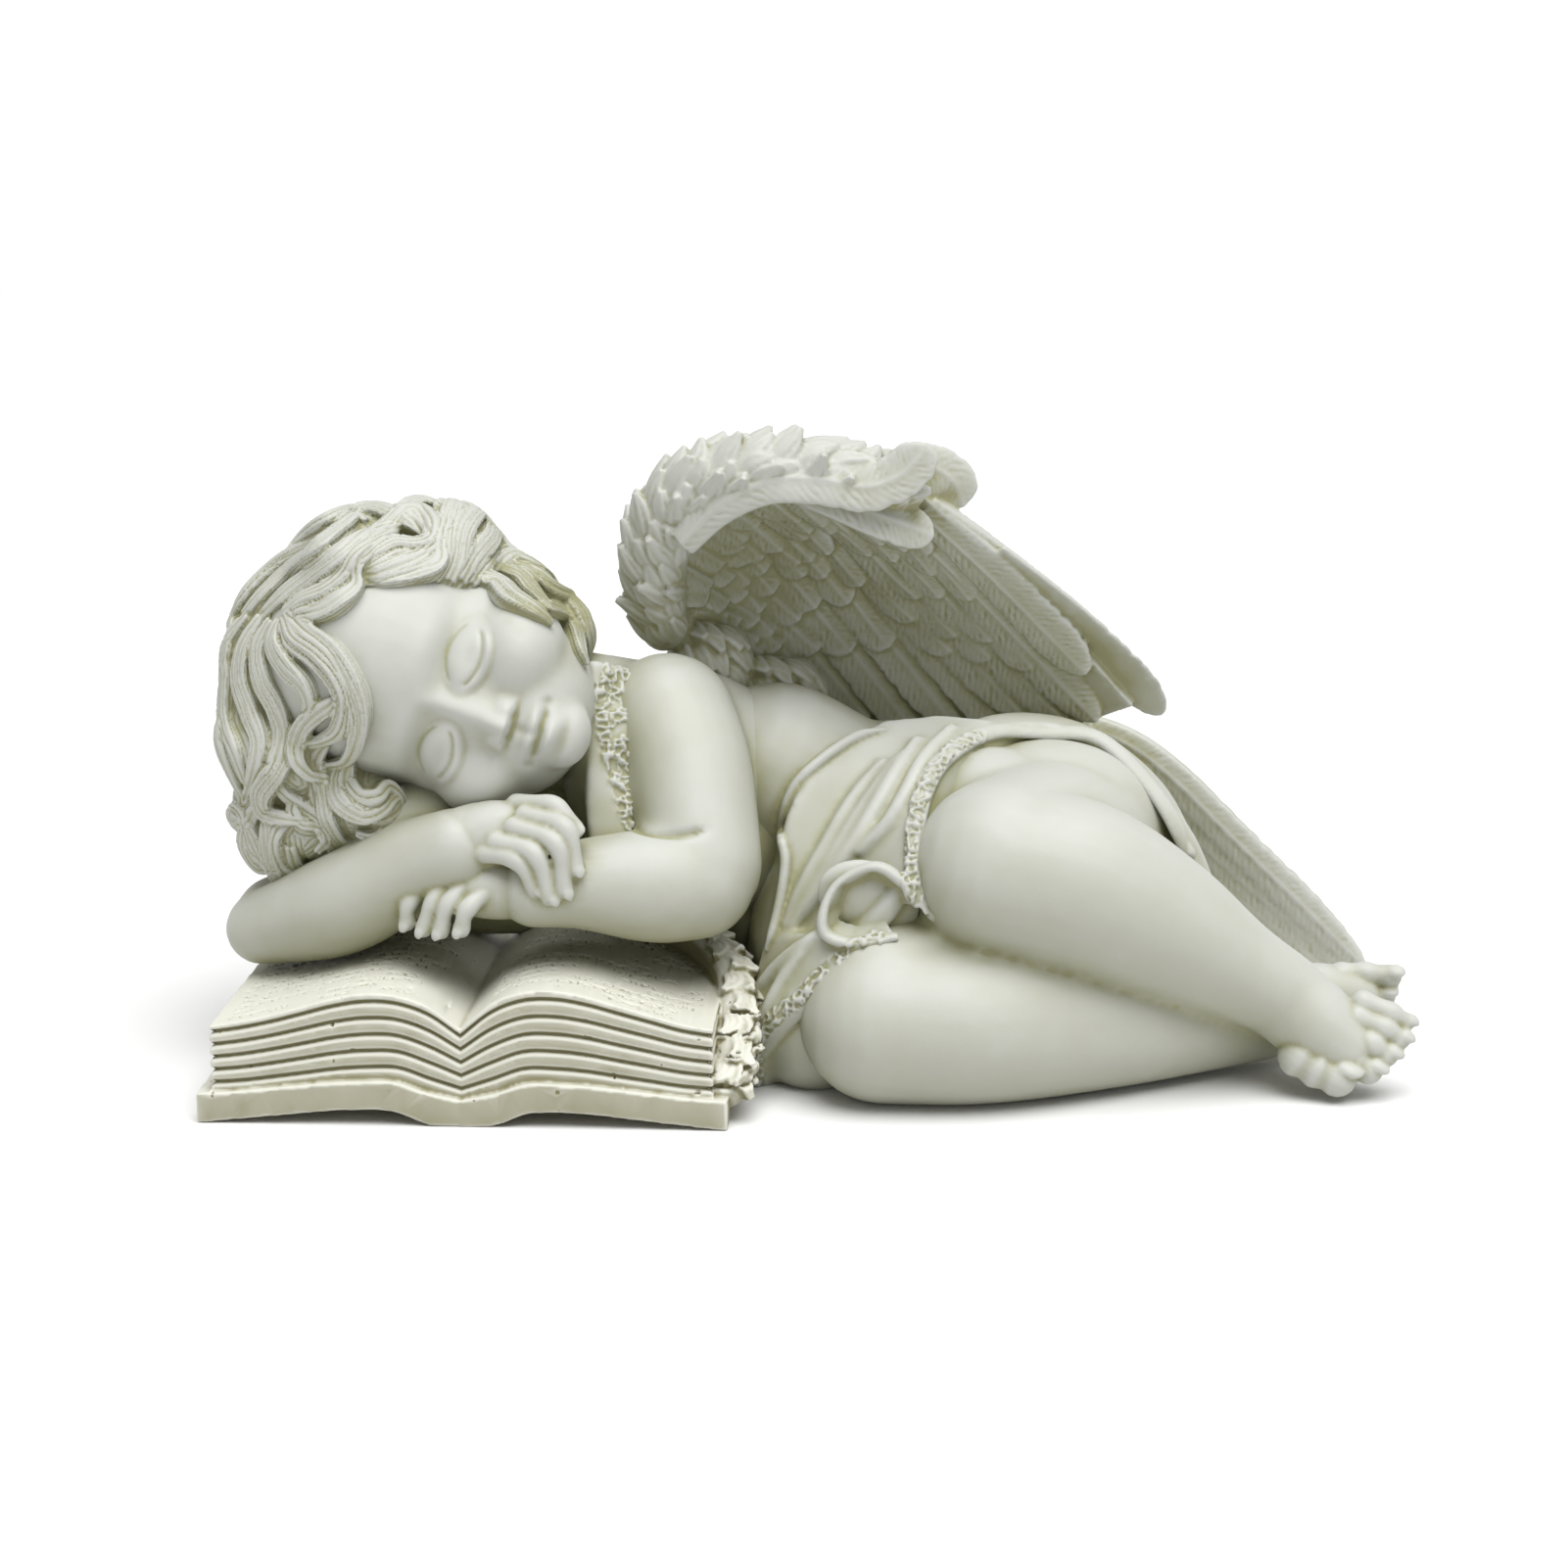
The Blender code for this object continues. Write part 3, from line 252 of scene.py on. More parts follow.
class Clay:
    """Closed shapes that overlap, gathered until they are fused into one surface."""

    def __init__(self):
        self.points = []
        self.quads = []
        self.caps = []
        self.count = 0

    def add(self, points, quads, caps=()):
        self.quads.append(quads + self.count)
        self.caps += [(cap + self.count).tolist() for cap in caps]
        self.points.append(points)
        self.count += len(points)

    def rings(self, rings):
        """A tube through rings of as many points each, closed at both ends."""
        count, sides = rings.shape[:2]
        index = np.arange(count * sides).reshape(count, sides)
        following = np.roll(index, -1, axis=1)
        quads = np.stack([index[:-1], index[1:], following[1:], following[:-1]], -1).reshape(-1, 4)
        self.add(rings.reshape(-1, 3), quads, (index[0], index[-1][::-1]))

    def tube(self, centres, wide, thick, facings, sides=10):
        """A tube of oval section. facings is the direction of its thickness, one or one for each centre."""
        centres = np.asarray(centres, float)
        ahead = unit(np.gradient(centres, axis=0))
        side = unit(np.cross(ahead, np.broadcast_to(np.asarray(facings, float), centres.shape)))
        out = np.cross(side, ahead)
        angles = 2 * np.pi * np.arange(sides) / sides
        wide = np.broadcast_to(wide, len(centres))[:, None, None] * np.cos(angles)[None, :, None]
        thick = np.broadcast_to(thick, len(centres))[:, None, None] * np.sin(angles)[None, :, None]
        self.rings(centres[:, None] + side[:, None] * wide + out[:, None] * thick)

    def limb(self, stations, sides=24, count=None):
        """A round limb through stations (x, y, z, radius), with round ends."""
        path = curve(stations, count or 8 * len(stations))
        caps = np.radians([86, 70, 50, 30, 14])[:, None]
        back = unit(path[0, :3] - path[1, :3])
        ahead = unit(path[-1, :3] - path[-2, :3])
        start = path[0, :3] + back * path[0, 3] * np.sin(caps)
        end = (path[-1, :3] + ahead * path[-1, 3] * np.sin(caps))[::-1]
        round_off = np.cos(caps[:, 0])
        radii = np.concatenate([path[0, 3] * round_off, path[:, 3], path[-1, 3] * round_off[::-1]])
        facing = np.array(Vector(ahead).orthogonal())
        self.tube(np.concatenate([start, path[:, :3], end]), radii, radii, facing, sides)

    def ball(self, centre, radii, turn=None, sides=36):
        """An ellipsoid. turn is its rotation matrix."""
        down = np.radians(np.linspace(2, 178, sides // 2))
        round_ = 2 * np.pi * np.arange(sides) / sides
        x = np.sin(down)[:, None] * np.cos(round_)[None]
        y = np.sin(down)[:, None] * np.sin(round_)[None]
        z = np.repeat(np.cos(down)[:, None], sides, 1)
        places = np.stack([x, y, z], -1) * np.asarray(radii, float)
        if turn is not None:
            places = places @ np.asarray(turn).T
        self.rings(places + np.asarray(centre, float))

    def slab(self, front, back):
        """A closed slab between two grids of points that lie over each other."""
        rows, columns = front.shape[:2]
        near = np.arange(rows * columns).reshape(rows, columns)
        far = near + rows * columns
        faces = []
        for index in (near, far):
            faces.append(np.stack([index[:-1, :-1], index[1:, :-1], index[1:, 1:], index[:-1, 1:]], -1))
        edge = np.concatenate([near[:-1, 0], near[-1, :-1], near[:0:-1, -1], near[0, :0:-1]])
        after = np.roll(edge, -1)
        border = np.stack([edge, after, after + rows * columns, edge + rows * columns], -1)
        quads = np.concatenate([faces[0].reshape(-1, 4), faces[1].reshape(-1, 4)[:, ::-1], border])
        self.add(np.concatenate([front.reshape(-1, 3), back.reshape(-1, 3)]), quads)

    def mesh(self):
        mesh = bpy.data.meshes.new("clay")
        faces = np.concatenate(self.quads).tolist() + self.caps
        mesh.from_pydata(np.concatenate(self.points), [], faces)
        return mesh

    def take(self, mesh):
        """Adds the faces of a fused mesh."""
        self.add(places_of(mesh), quads_of(mesh))


def values_of(items, name, size, kind=float):
    """The values of this name of a mesh's vertices, edges or corners, size to each item."""
    values = np.empty(size * len(items), kind)
    items.foreach_get(name, values)
    return values.reshape(-1, size)


def places_of(mesh):
    return values_of(mesh.vertices, "co", 3)


def normals_of(mesh):
    return values_of(mesh.vertices, "normal", 3)


def quads_of(mesh):
    return values_of(mesh.loops, "vertex_index", 1, np.int32).reshape(-1, 4)


def place(mesh, places):
    mesh.vertices.foreach_set("co", places.ravel())
    mesh.update()


def added(name, data):
    """A new object in the scene."""
    obj = bpy.data.objects.new(name, data)
    bpy.context.scene.collection.objects.link(obj)
    return obj


def modified(mesh, *settings):
    """The mesh after modifiers, each given as its type and a dictionary of values."""
    obj = added("work", mesh)
    for kind, values in settings:
        modifier = obj.modifiers.new(kind, kind)
        for name, value in values.items():
            setattr(modifier, name, value)
    graph = bpy.context.evaluated_depsgraph_get()
    result = bpy.data.meshes.new_from_object(obj.evaluated_get(graph))
    bpy.data.objects.remove(obj)
    bpy.data.meshes.remove(mesh)
    return result


def fused(clay, voxel, smoothing):
    """The clay as one surface of square facets, a little smoothed where its shapes meet."""
    settings = [("REMESH", {"mode": "VOXEL", "voxel_size": voxel})]
    if smoothing:
        settings.append(("SMOOTH", {"factor": 0.5, "iterations": smoothing}))
    return modified(clay.mesh(), *settings)


def refined(mesh, voxel, smoothing, add=None):
    """The smooth surface again in finer facets, together with what add puts on it."""
    clay = Clay()
    clay.take(modified(mesh, ("SUBSURF", {"levels": 1, "render_levels": 1})))
    if add:
        add(clay)
    return fused(clay, voxel, smoothing)


def tree_of(mesh):
    return BVHTree.FromPolygons(places_of(mesh).tolist(), quads_of(mesh).tolist())


def on_head(x, y, z):
    """A point of the head's own frame, in the figure's frame."""
    return HEAD_CENTRE + HEAD_TURN @ np.array([x, y, z], float)


def camera_place():
    high = AIM_HEIGHT + CAMERA_DISTANCE * math.sin(CAMERA_TILT)
    return np.array([0.0, -CAMERA_DISTANCE * math.cos(CAMERA_TILT), high])


def sight_of(across, up):
    """From the camera to (across, up) on the plane through the aim point that faces it."""
    target = np.array([across, up * math.sin(CAMERA_TILT), AIM_HEIGHT + up * math.cos(CAMERA_TILT)])
    return target - camera_place()


def in_view(across, up, depth):
    """The point that the camera sees at (across, up), at this depth along Y."""
    eye = camera_place()
    sight = sight_of(across, up)
    return eye + sight * (depth - eye[1]) / sight[1]


def seen(tree, way, lift, near):
    """Points on the surface where the camera sees the (across, up) points of the way, lifted off it.

    A point beside the surface goes to the place on it that is closest to its line of sight, at near's depth.
    """
    eye = camera_place()
    points = []
    normals = []
    for across, up in way:
        sight = unit(sight_of(across, up))
        hit, normal = tree.ray_cast(Vector(eye), Vector(sight))[:2]
        if hit is None:
            beside = eye + sight * np.dot(near - eye, sight)
            hit, normal = tree.find_nearest(Vector(beside))[:2]
        points.append(np.array(hit))
        normals.append(np.array(normal))
    normals = np.array(normals)
    for _ in range(3):
        padded = np.concatenate([normals[:1], normals, normals[-1:]])
        normals = unit(padded[:-2] + 2 * padded[1:-1] + padded[2:])
    return np.array(points) + normals * np.asarray(lift).reshape(-1, 1), normals


def skull(clay):
    """Skull, cheeks and chin."""
    clay.ball(on_head(0, 4, 6), (37, 44, 42), HEAD_TURN)
    clay.ball(on_head(0, -4, -17), (34, 34, 31), HEAD_TURN)
    clay.ball(on_head(0, -14, -35), (25, 23, 19), HEAD_TURN)
    clay.ball(on_head(0, -29, -47), (10, 9, 8), HEAD_TURN)
    for side in (-1, 1):
        clay.ball(on_head(16 * side, -20, -27), (16.5, 17.5, 15), HEAD_TURN)


def mound(x, z, centre, radii):
    """A soft round swell of height 1 over centre, of the radii along X and Z."""
    return np.exp(-(((x - centre[0]) / radii[0]) ** 2) - ((z - centre[1]) / radii[1]) ** 2)


# Soft swells and hollows of the face, the same on both sides: height, and (out, up) of its middle and radii.
FACE_MOUNDS = [
    (-0.9, (2.9, NOSE_BASE + 0.4), (1.5, 1.3)),
    (-2.8, (EYE_OUT - 1, EYE_HEIGHT + 1.5), (11.5, 8.5)),
    (1.5, (EYE_OUT, EYE_HEIGHT + 12), (11, 4.5)),
    (1.6, (21, NOSE_BASE + 2), (9, 9)),
    (2.4, (0, MOUTH_HEIGHT + 2), (11, 8)),
    (-0.7, (0, MOUTH_HEIGHT + 6.0), (1.6, 2.6)),
    (1.9, (2.7, MOUTH_HEIGHT + 2.1), (3.6, 1.6)),
    (2.3, (0, MOUTH_HEIGHT - 2.7), (5.2, 2.0)),
    (-0.9, (9.2, MOUTH_HEIGHT + 0.4), (1.5, 1.6)),
    (-1.3, (0, MOUTH_HEIGHT - 6.8), (7, 2.0)),
]


def face_relief(x, z):
    """How far the sleeping child's features stand out of the smooth head, at its (x, z)."""
    side = np.abs(x)
    down = np.clip((NOSE_TOP - z) / (NOSE_TOP - NOSE_BASE), 0, 1)
    nose = smooth_step(z, NOSE_BASE - 0.8, NOSE_BASE + 1.8) * smooth_step(NOSE_TOP - z, -4, 6)
    relief = nose * (1.4 + 4.4 * down**1.6) * np.exp(-((x / (3.4 + 1.6 * down)) ** 2))
    relief += 2.2 * nose * mound(x, z, (0, NOSE_BASE + 4.5), (3.8, 3.6))
    wings = smooth_step(z, NOSE_BASE - 0.5, NOSE_BASE + 1.4)
    relief += 2.4 * wings * mound(side, z, (5.4, NOSE_BASE + 3.2), (2.2, 2.7))
    out = side - EYE_OUT
    lid = 1 - (out / 8.6) ** 2 - ((z - EYE_HEIGHT) / 5.4) ** 2
    relief += 3.5 * smooth_step(lid, -0.8, 1.1)
    within = smooth_step(8.6 - np.abs(out), 0, 2)
    lashes = z - (EYE_HEIGHT - 3.4 + 0.040 * out**2)
    relief -= 0.8 * within * np.exp(-((lashes / 0.95) ** 2))
    relief += 0.45 * within * np.exp(-(((lashes + 1.5) / 0.9) ** 2))
    crease = z - (EYE_HEIGHT + 6.2 - 0.05 * out**2)
    relief -= 0.5 * within * np.exp(-((crease / 0.7) ** 2))
    for height, centre, radii in FACE_MOUNDS:
        relief += height * mound(side, z, centre, radii)
    bow = 0.5 * mound(side, z, (3.0, MOUTH_HEIGHT), (2.0, 9.0)) + 0.012 * side**2
    line = z - (MOUTH_HEIGHT - 0.4 + bow)
    relief -= 1.1 * smooth_step(9.0 - side, 0, 3.5) * np.exp(-((line / 1.2) ** 2))
    return relief


def shape_face(mesh):
    """Raises the features out of the front of the head."""
    places = places_of(mesh)
    local = (places - HEAD_CENTRE) @ HEAD_TURN
    facing = -(normals_of(mesh) @ HEAD_TURN)[:, 1]
    front = smooth_step(-local[:, 1], 8, 22) * smooth_step(facing, 0.0, 0.5)
    front *= (np.abs(local[:, 0]) < 36) & (local[:, 2] > -62) & (local[:, 2] < 20)
    local[:, 1] -= front * face_relief(local[:, 0], local[:, 2])
    place(mesh, local @ HEAD_TURN.T + HEAD_CENTRE)


def head_mesh():
    base = Clay()
    skull(base)
    base.limb([(-70, 4, 101, 20), (-56, 8, 96, 21), (-46, 10, 94, 22)])
    mesh = refined(fused(base, voxel=1.4, smoothing=10), voxel=0.55, smoothing=4)
    shape_face(mesh)
    return modified(mesh, ("SMOOTH", {"factor": 0.5, "iterations": 2}))


def strands(clay, points, normals, width, count, twist=0.35):
    """A lock of hair: strands side by side that part, cross a little and meet again at its tip."""
    shares = np.linspace(0, 1, 9 * len(points))
    path = spline(points, shares)
    facing = unit(spline(normals, shares))
    side = unit(np.cross(unit(np.gradient(path, axis=0)), facing))
    spread = (0.45 + 0.55 * np.sin(np.pi * np.clip(shares, 0, 1) ** 0.8)) * (1 - 0.55 * shares**4)
    radius = 0.62 * width / count
    clay.tube(path - facing * 1.6, 0.56 * width * spread, 0.46 * width * spread, facing, 14)
    for k in range(count):
        place_across = (k + 0.5) / count - 0.5
        turn = 2 * np.pi * (twist * shares + 0.37 * k)
        across = width * spread * (place_across + 0.05 * np.sin(turn))
        crown = math.sqrt(max(1 - (2.1 * place_across) ** 2, 0.05))
        rise = 0.30 * width * spread * crown + 0.25 * np.cos(turn)
        centres = path + side * across[:, None] + facing * (rise - 0.5 * radius)[:, None]
        clay.tube(centres, radius * (0.55 + 0.45 * spread), 0.9 * radius * (0.6 + 0.4 * spread), facing, 9)


def tuft(clay, base, way, bend, facing, width, count, twist):
    """A short lock from base along way, bent aside by bend at its tip."""
    shares = np.linspace(0, 1, 6)[:, None]
    points = base + way * shares + bend * shares**2
    strands(clay, points, np.repeat(facing[None], 6, 0), width, count, twist)


def hair_mesh():
    """The cap of hair with its thick parts, and the locks over it."""
    base = Clay()
    base.ball(on_head(*HAIR_CENTRE), (HAIR_RADIUS,) * 3, HEAD_TURN)
    for centre, radii in HAIR_MASSES:
        base.ball(on_head(*centre), radii, HEAD_TURN)
    support = fused(base, voxel=1.3, smoothing=6)
    whole = Clay()
    whole.take(support)
    skull(whole)
    under = fused(whole, voxel=1.3, smoothing=2)
    tree = tree_of(under)
    clay = Clay()
    clay.take(support)
    lines = []
    for width, lift, way in LOCKS:
        stations = len(way)
        lifts = 0.4 + 0.5 * lift * np.minimum(1.0, 2.0 * np.arange(stations) / (stations - 1))
        points, normals = seen(tree, way, lifts, on_head(0, 0, 10))
        strands(clay, points, normals, width, width // 2)
        lines.append(curve(points, 6 * stations))
    back_locks(clay, tree)
    mesh = fused(clay, voxel=0.5, smoothing=1)
    comb(mesh, lines)
    return mesh


def comb(mesh, lines):
    """Fine grooves over the hair that run along the lock nearest to each point."""
    stations = np.concatenate(lines)
    ahead = np.concatenate([unit(np.gradient(line, axis=0)) for line in lines])
    finder = KDTree(len(stations))
    for i, station in enumerate(stations):
        finder.insert(station, i)
    finder.balance()
    places = places_of(mesh)
    normals = normals_of(mesh)
    nearest_station = np.array([finder.find(p)[1:] for p in places])
    index = nearest_station[:, 0].astype(int)
    side = unit(np.cross(ahead[index], normals))
    aside = ((places - stations[index]) * side).sum(-1)
    ridge = 0.5 + 0.5 * np.cos(2 * np.pi * aside / 1.75 + 0.7 * np.sin(0.35 * index))
    fade = smooth_step(7.5 - nearest_station[:, 1], 0, 4)
    place(mesh, places - normals * (0.34 * ridge**2 * fade)[:, None])


def back_locks(clay, tree):
    """Plainer wavy locks from the parting over the back of the head, which the front view doesn't show."""
    parting = unit(np.array([16.0, -32.0, 22.0]))
    back = np.array([-0.1, 1.0, 0.6])
    back = unit(back - parting * np.dot(parting, back))
    side = np.cross(parting, back)
    for k in range(BACK_LOCKS):
        heading = math.radians(BACK_REACH * (2 * k / (BACK_LOCKS - 1) - 1))
        points = []
        normals = []
        for j in range(13):
            far = math.radians(28 + 128 * j / 12)
            bend = heading + 0.07 * math.sin(1.9 * j + 1.3 * k)
            way = back * math.cos(bend) + side * math.sin(bend)
            out = HEAD_TURN @ (parting * math.cos(far) + way * math.sin(far))
            hit, normal = tree.ray_cast(Vector(on_head(*BACK_CENTRE) + 90 * out), Vector(-out))[:2]
            if hit is not None and ((np.array(hit) - HEAD_CENTRE) @ HEAD_TURN)[1] > 3:
                points.append(np.array(hit) + 0.4 * np.array(normal))
                normals.append(np.array(normal))
        if len(points) > 3:
            strands(clay, np.array(points), np.array(normals), 9.0, 4)


def value_noise(points, size):
    """Smooth noise from 0 to 1 with features of this size, the same on every run."""
    scaled = points / size
    cell = np.floor(scaled)
    part = scaled - cell
    part = part * part * (3 - 2 * part)
    total = np.zeros(len(points))
    for corner in np.ndindex(2, 2, 2):
        at = cell + corner
        value = np.sin(at @ np.array([127.1, 311.7, 74.7])) * 43758.5453
        share = np.prod(np.where(corner, part, 1 - part), axis=1)
        total += share * (value - np.floor(value))
    return total


def nearest(places, way, reach):
    """Indices of the places within reach of a dense line of points, their distances and their stations."""
    low = way.min(axis=0) - reach
    high = way.max(axis=0) + reach
    index = np.nonzero(((places > low) & (places < high)).all(axis=1))[0]
    gaps = np.linalg.norm(places[index, None] - way[None], axis=2)
    station = gaps.argmin(axis=1)
    gap = gaps[np.arange(len(index)), station]
    keep = gap < reach
    return index[keep], gap[keep], station[keep]


def engrave(mesh, ways, depth, width):
    """Presses a soft groove of this depth and half width into the surface along each way."""
    places = places_of(mesh)
    normals = normals_of(mesh)
    move = np.zeros(len(places))
    for way in ways:
        index, gap, station = nearest(places, way, 3 * width)
        ends = np.minimum(1, np.minimum(station, len(way) - 1 - station) / (0.15 * len(way)) + 0.15)
        move[index] = np.maximum(move[index], ends * np.exp(-((gap / width) ** 2)))
    place(mesh, places - normals * (depth * move)[:, None])


class Net:
    """A smooth surface through rows of points. s runs from row to row and t along the rows."""

    def __init__(self, rows):
        self.rows = np.array(rows, float)

    def at(self, s, t):
        s, t = np.broadcast_arrays(np.asarray(s, float), np.asarray(t, float))
        over_rows = spline(np.eye(self.rows.shape[0]), s.ravel())
        along_rows = spline(np.eye(self.rows.shape[1]), t.ravel())
        return np.einsum("nr,nc,rcd->nd", over_rows, along_rows, self.rows).reshape(s.shape + (3,))

    def normal(self, s, t):
        step = 0.02
        s = np.asarray(s, float)
        t = np.asarray(t, float)
        across = self.at(s + step, t) - self.at(s - step, t)
        along = self.at(s, t + step) - self.at(s, t - step)
        return unit(np.cross(across, along))


def sheet(clay, net, thickness, columns, rows):
    """A slab on the net."""
    s, t = np.meshgrid(np.linspace(0, 1, columns), np.linspace(0, 1, rows), indexing="ij")
    middle = net.at(s, t)
    half = net.normal(s, t) * np.broadcast_to(thickness, s.shape)[..., None] / 2
    clay.slab(middle - half, middle + half)


def blade(shares):
    """Half width of a feather along its length, as a share of the greatest: a round tip."""
    body = 0.6 + 0.4 * np.sin(np.pi / 2 * np.minimum(shares / 0.55, 1.0))
    return body * np.sqrt(np.maximum(1.0 - np.maximum((shares - 0.72) / 0.28, 0.0) ** 2, 0.01))


def plume(clay, path, facings, width, thick, tilt=0.0, barbs=0.4, pitch=2.2, seed=0.0):
    """A feather along its path, with a raised shaft and slanting barbs on its face."""
    length = np.linalg.norm(np.diff(path, axis=0), axis=1).sum()
    count = max(14, int(length / 0.55))
    shares = np.linspace(0, 1, count)
    centres = spline(path, shares)
    facing = unit(spline(np.broadcast_to(facings, path.shape), shares))
    ahead = unit(np.gradient(centres, axis=0))
    side = unit(np.cross(ahead, facing))
    out = np.cross(side, ahead)
    lean = math.radians(tilt)
    side, out = side * math.cos(lean) + out * math.sin(lean), out * math.cos(lean) - side * math.sin(lean)
    far = shares * length
    notches = 0.05 * np.maximum(0, np.sin(1.1 * far + seed))
    notches += 0.04 * np.maximum(0, np.sin(0.63 * far + 2 * seed))
    half = 0.5 * width * blade(shares) * (1 - notches * smooth_step(shares, 0.3, 0.6))
    across = np.linspace(-1, 1, max(9, int(width / 0.6)) | 1)
    away = np.abs(across)[None] * half[:, None]
    arch = 0.5 * thick * (1.1 - 0.5 * shares)
    height = arch[:, None] * np.sqrt(1 - 0.9 * across**2)[None]
    height += 0.5 * np.exp(-((away / 0.6) ** 2)) * (1 - shares)[:, None] ** 0.5
    uneven = 0.5 * np.sin(0.8 * far + seed) + 0.35 * np.sin(1.9 * far + 3 * seed)
    phase = (far[:, None] - 0.9 * away + 0.6 * uneven[:, None]) / pitch
    patches = 0.5 + 0.5 * np.sin(0.55 * far[:, None] + 2.1 * np.sign(across)[None] + 3.3 * seed)
    groove = barbs * (0.35 + 0.65 * patches) * (0.5 + 0.5 * np.cos(2 * np.pi * phase)) ** 2
    height -= groove * smooth_step(np.abs(across), 0.08, 0.3)[None]
    flat = centres[:, None] + side[:, None] * (half[:, None] * across[None])[..., None]
    clay.slab(flat + out[:, None] * height[..., None], flat - out[:, None] * arch[:, None, None])


def feather(clay, net, face, root, tip, width, thick, rise=1.5, tilt=10, barbs=0.4, pitch=2.2, seed=0.0):
    """A feather on the net from root to tip, both (s, t). face is -1 on its front and 1 on its back."""
    shares = np.linspace(0, 1, 9)
    s = root[0] + (tip[0] - root[0]) * shares
    t = root[1] + (tip[1] - root[1]) * shares
    normals = face * net.normal(s, t)
    path = net.at(s, t) + normals * (1.0 + rise * shares)[:, None]
    plume(clay, path, normals, width, thick, tilt, barbs, pitch, seed)


UPPER_WING = [
    [(-32, 22, 124), (-24, 34, 116), (-12, 38, 111), (0, 40, 100)],
    [(-36, 14, 156), (-17, 42, 139), (0, 48, 117), (20, 46, 92)],
    [(-22, 5, 172), (2, 38, 152), (26, 48, 123), (50, 43, 89)],
    [(7, 0, 175), (31, 26, 151), (58, 38, 121), (84, 36, 91)],
    [(36, 0, 171), (64, 10, 146), (86, 20, 123), (106, 27, 100)],
]
REAR_WING = [
    [(15, 50, 104), (61, 54, 95), (107, 52, 84), (147, 48, 48), (184, 44, 12)],
    [(25, 50, 86), (70, 54, 72), (112, 53, 55), (146, 48, 30), (178, 44, 5)],
    [(46, 46, 54), (77, 50, 37), (109, 50, 19), (133, 46, 6), (155, 42, 0)],
]
WING_ROLL = [
    (-36, 22, 124, 7),
    (-38, 17, 138, 9),
    (-37, 11, 152, 10),
    (-30, 5, 165, 10),
    (-19, 0, 172, 9.5),
    (-4, -3, 175, 9),
    (12, -4, 174, 8.5),
    (26, -3, 171, 7),
    (36, -2, 168, 5),
]
# Free plumes at the end of the rolled edge: way in the camera's view, its depth, width and thickness.
END_PLUMES = [
    (
        [(-30, 71), (-19, 82), (-5, 89), (10, 89.5), (24, 87.5), (34, 91), (40, 97), (42, 100.5)],
        (-4, -12, -13, -12), 14, 4.0,
    ),
    ([(6, 86), (20, 82), (30, 78.5), (37, 76), (44, 73)], (0, -7, -6, -3), 13, 4.0),
    ([(30, 93), (40, 94), (49, 90), (53, 82)], (2, 5, 8), 15, 4.0),
]

WING_BASE = [((-24, 30, 109), (12.5, 9, 16)), ((-4, 36, 100), (16, 8, 13))]


def down(clay, centre, radii):
    """Small tufts over the front of a round base, tips down and away from the child's neck."""
    for row, high in enumerate((60, 35, 10, -15, -40)):
        for k in range(5):
            turn = math.radians(-60 + 30 * k + 12 * (row % 2))
            lift = math.radians(high)
            level = math.cos(lift)
            facing = np.array([math.sin(turn) * level, -math.cos(turn) * level, math.sin(lift)])
            way = np.array([0.55 + 0.3 * math.sin(2.1 * k + row), 0.0, -0.8])
            way = unit(way - facing * np.dot(way, facing))
            tuft(clay, centre + radii * facing, way * 10 + facing * 0.8, -2.2 * facing, facing, 6.0, 3, 0.15)


FLIGHT_FEATHERS = 7


def wing_raised_mesh():
    """The raised wing: a hollow canopy, rows of feathers on both faces, and tufts round its rolled edge."""
    clay = Clay()
    net = Net(UPPER_WING)
    sheet(clay, net, 3.6, 90, 60)
    clay.limb(WING_ROLL, 24)
    for centre, radii in WING_BASE:
        clay.ball(centre, radii)
        down(clay, np.array(centre, float), np.array(radii, float))
    for face in (1, -1):
        for k in range(FLIGHT_FEATHERS):
            s = (k + 0.4) / 9
            tip = (s + 0.04, 1.0 + 0.03 * (k % 2))
            feather(clay, net, face, (s, 0.45), tip, 15, 3.4, rise=1.8, tilt=14, barbs=0.45, seed=k)
        for k, (s, tip) in enumerate(((0.70, 0.96), (0.79, 0.98), (0.88, 1.0), (0.97, 0.82))):
            look = {"rise": 2.4, "tilt": 14, "barbs": 0.7, "pitch": 2.4, "seed": 3 + k}
            feather(clay, net, face, (s - 0.02, 0.12), (s, tip), 16, 3.8, **look)
        rows = 6 if face < 0 else 4
        for row in reversed(range(rows)):
            count = 13 - row
            for k in range(count):
                stray = math.sin(12.9 * k + 7.3 * row)
                s = 0.01 + (k + 0.5 * (row % 2) + 0.22 * stray) / (count + 1.2)
                start = 0.02 + 0.62 * row / rows + 0.025 * math.sin(5.1 * k + row)
                wide = 9.5 + 0.6 * row + 1.5 * stray
                tip = (s + 0.02 + 0.025 * math.sin(8.3 * k + 2 * row), start + 0.21 + 0.03 * stray)
                look = {"rise": 3.2, "tilt": 10 + 6 * stray, "barbs": 0.75, "pitch": 2.0, "seed": k + 5 * row}
                feather(clay, net, face, (s, start), tip, wide, 2.8, **look)
    feather(clay, net, 1, (1.0, 0.3), (1.04, 1.1), 14, 2.6, rise=2.0)
    for way, depths, width, thick in END_PLUMES:
        deep = spline(np.array(depths, float)[:, None], np.linspace(0, 1, len(way)))[:, 0]
        path = np.array([in_view(a, u, d) for (a, u), d in zip(way, deep)])
        plume(clay, path, np.array([0.1, -1.0, 0.35]), width, thick, barbs=0.5, pitch=2.4)
    tufts(clay)
    return fused(clay, voxel=0.55, smoothing=1)


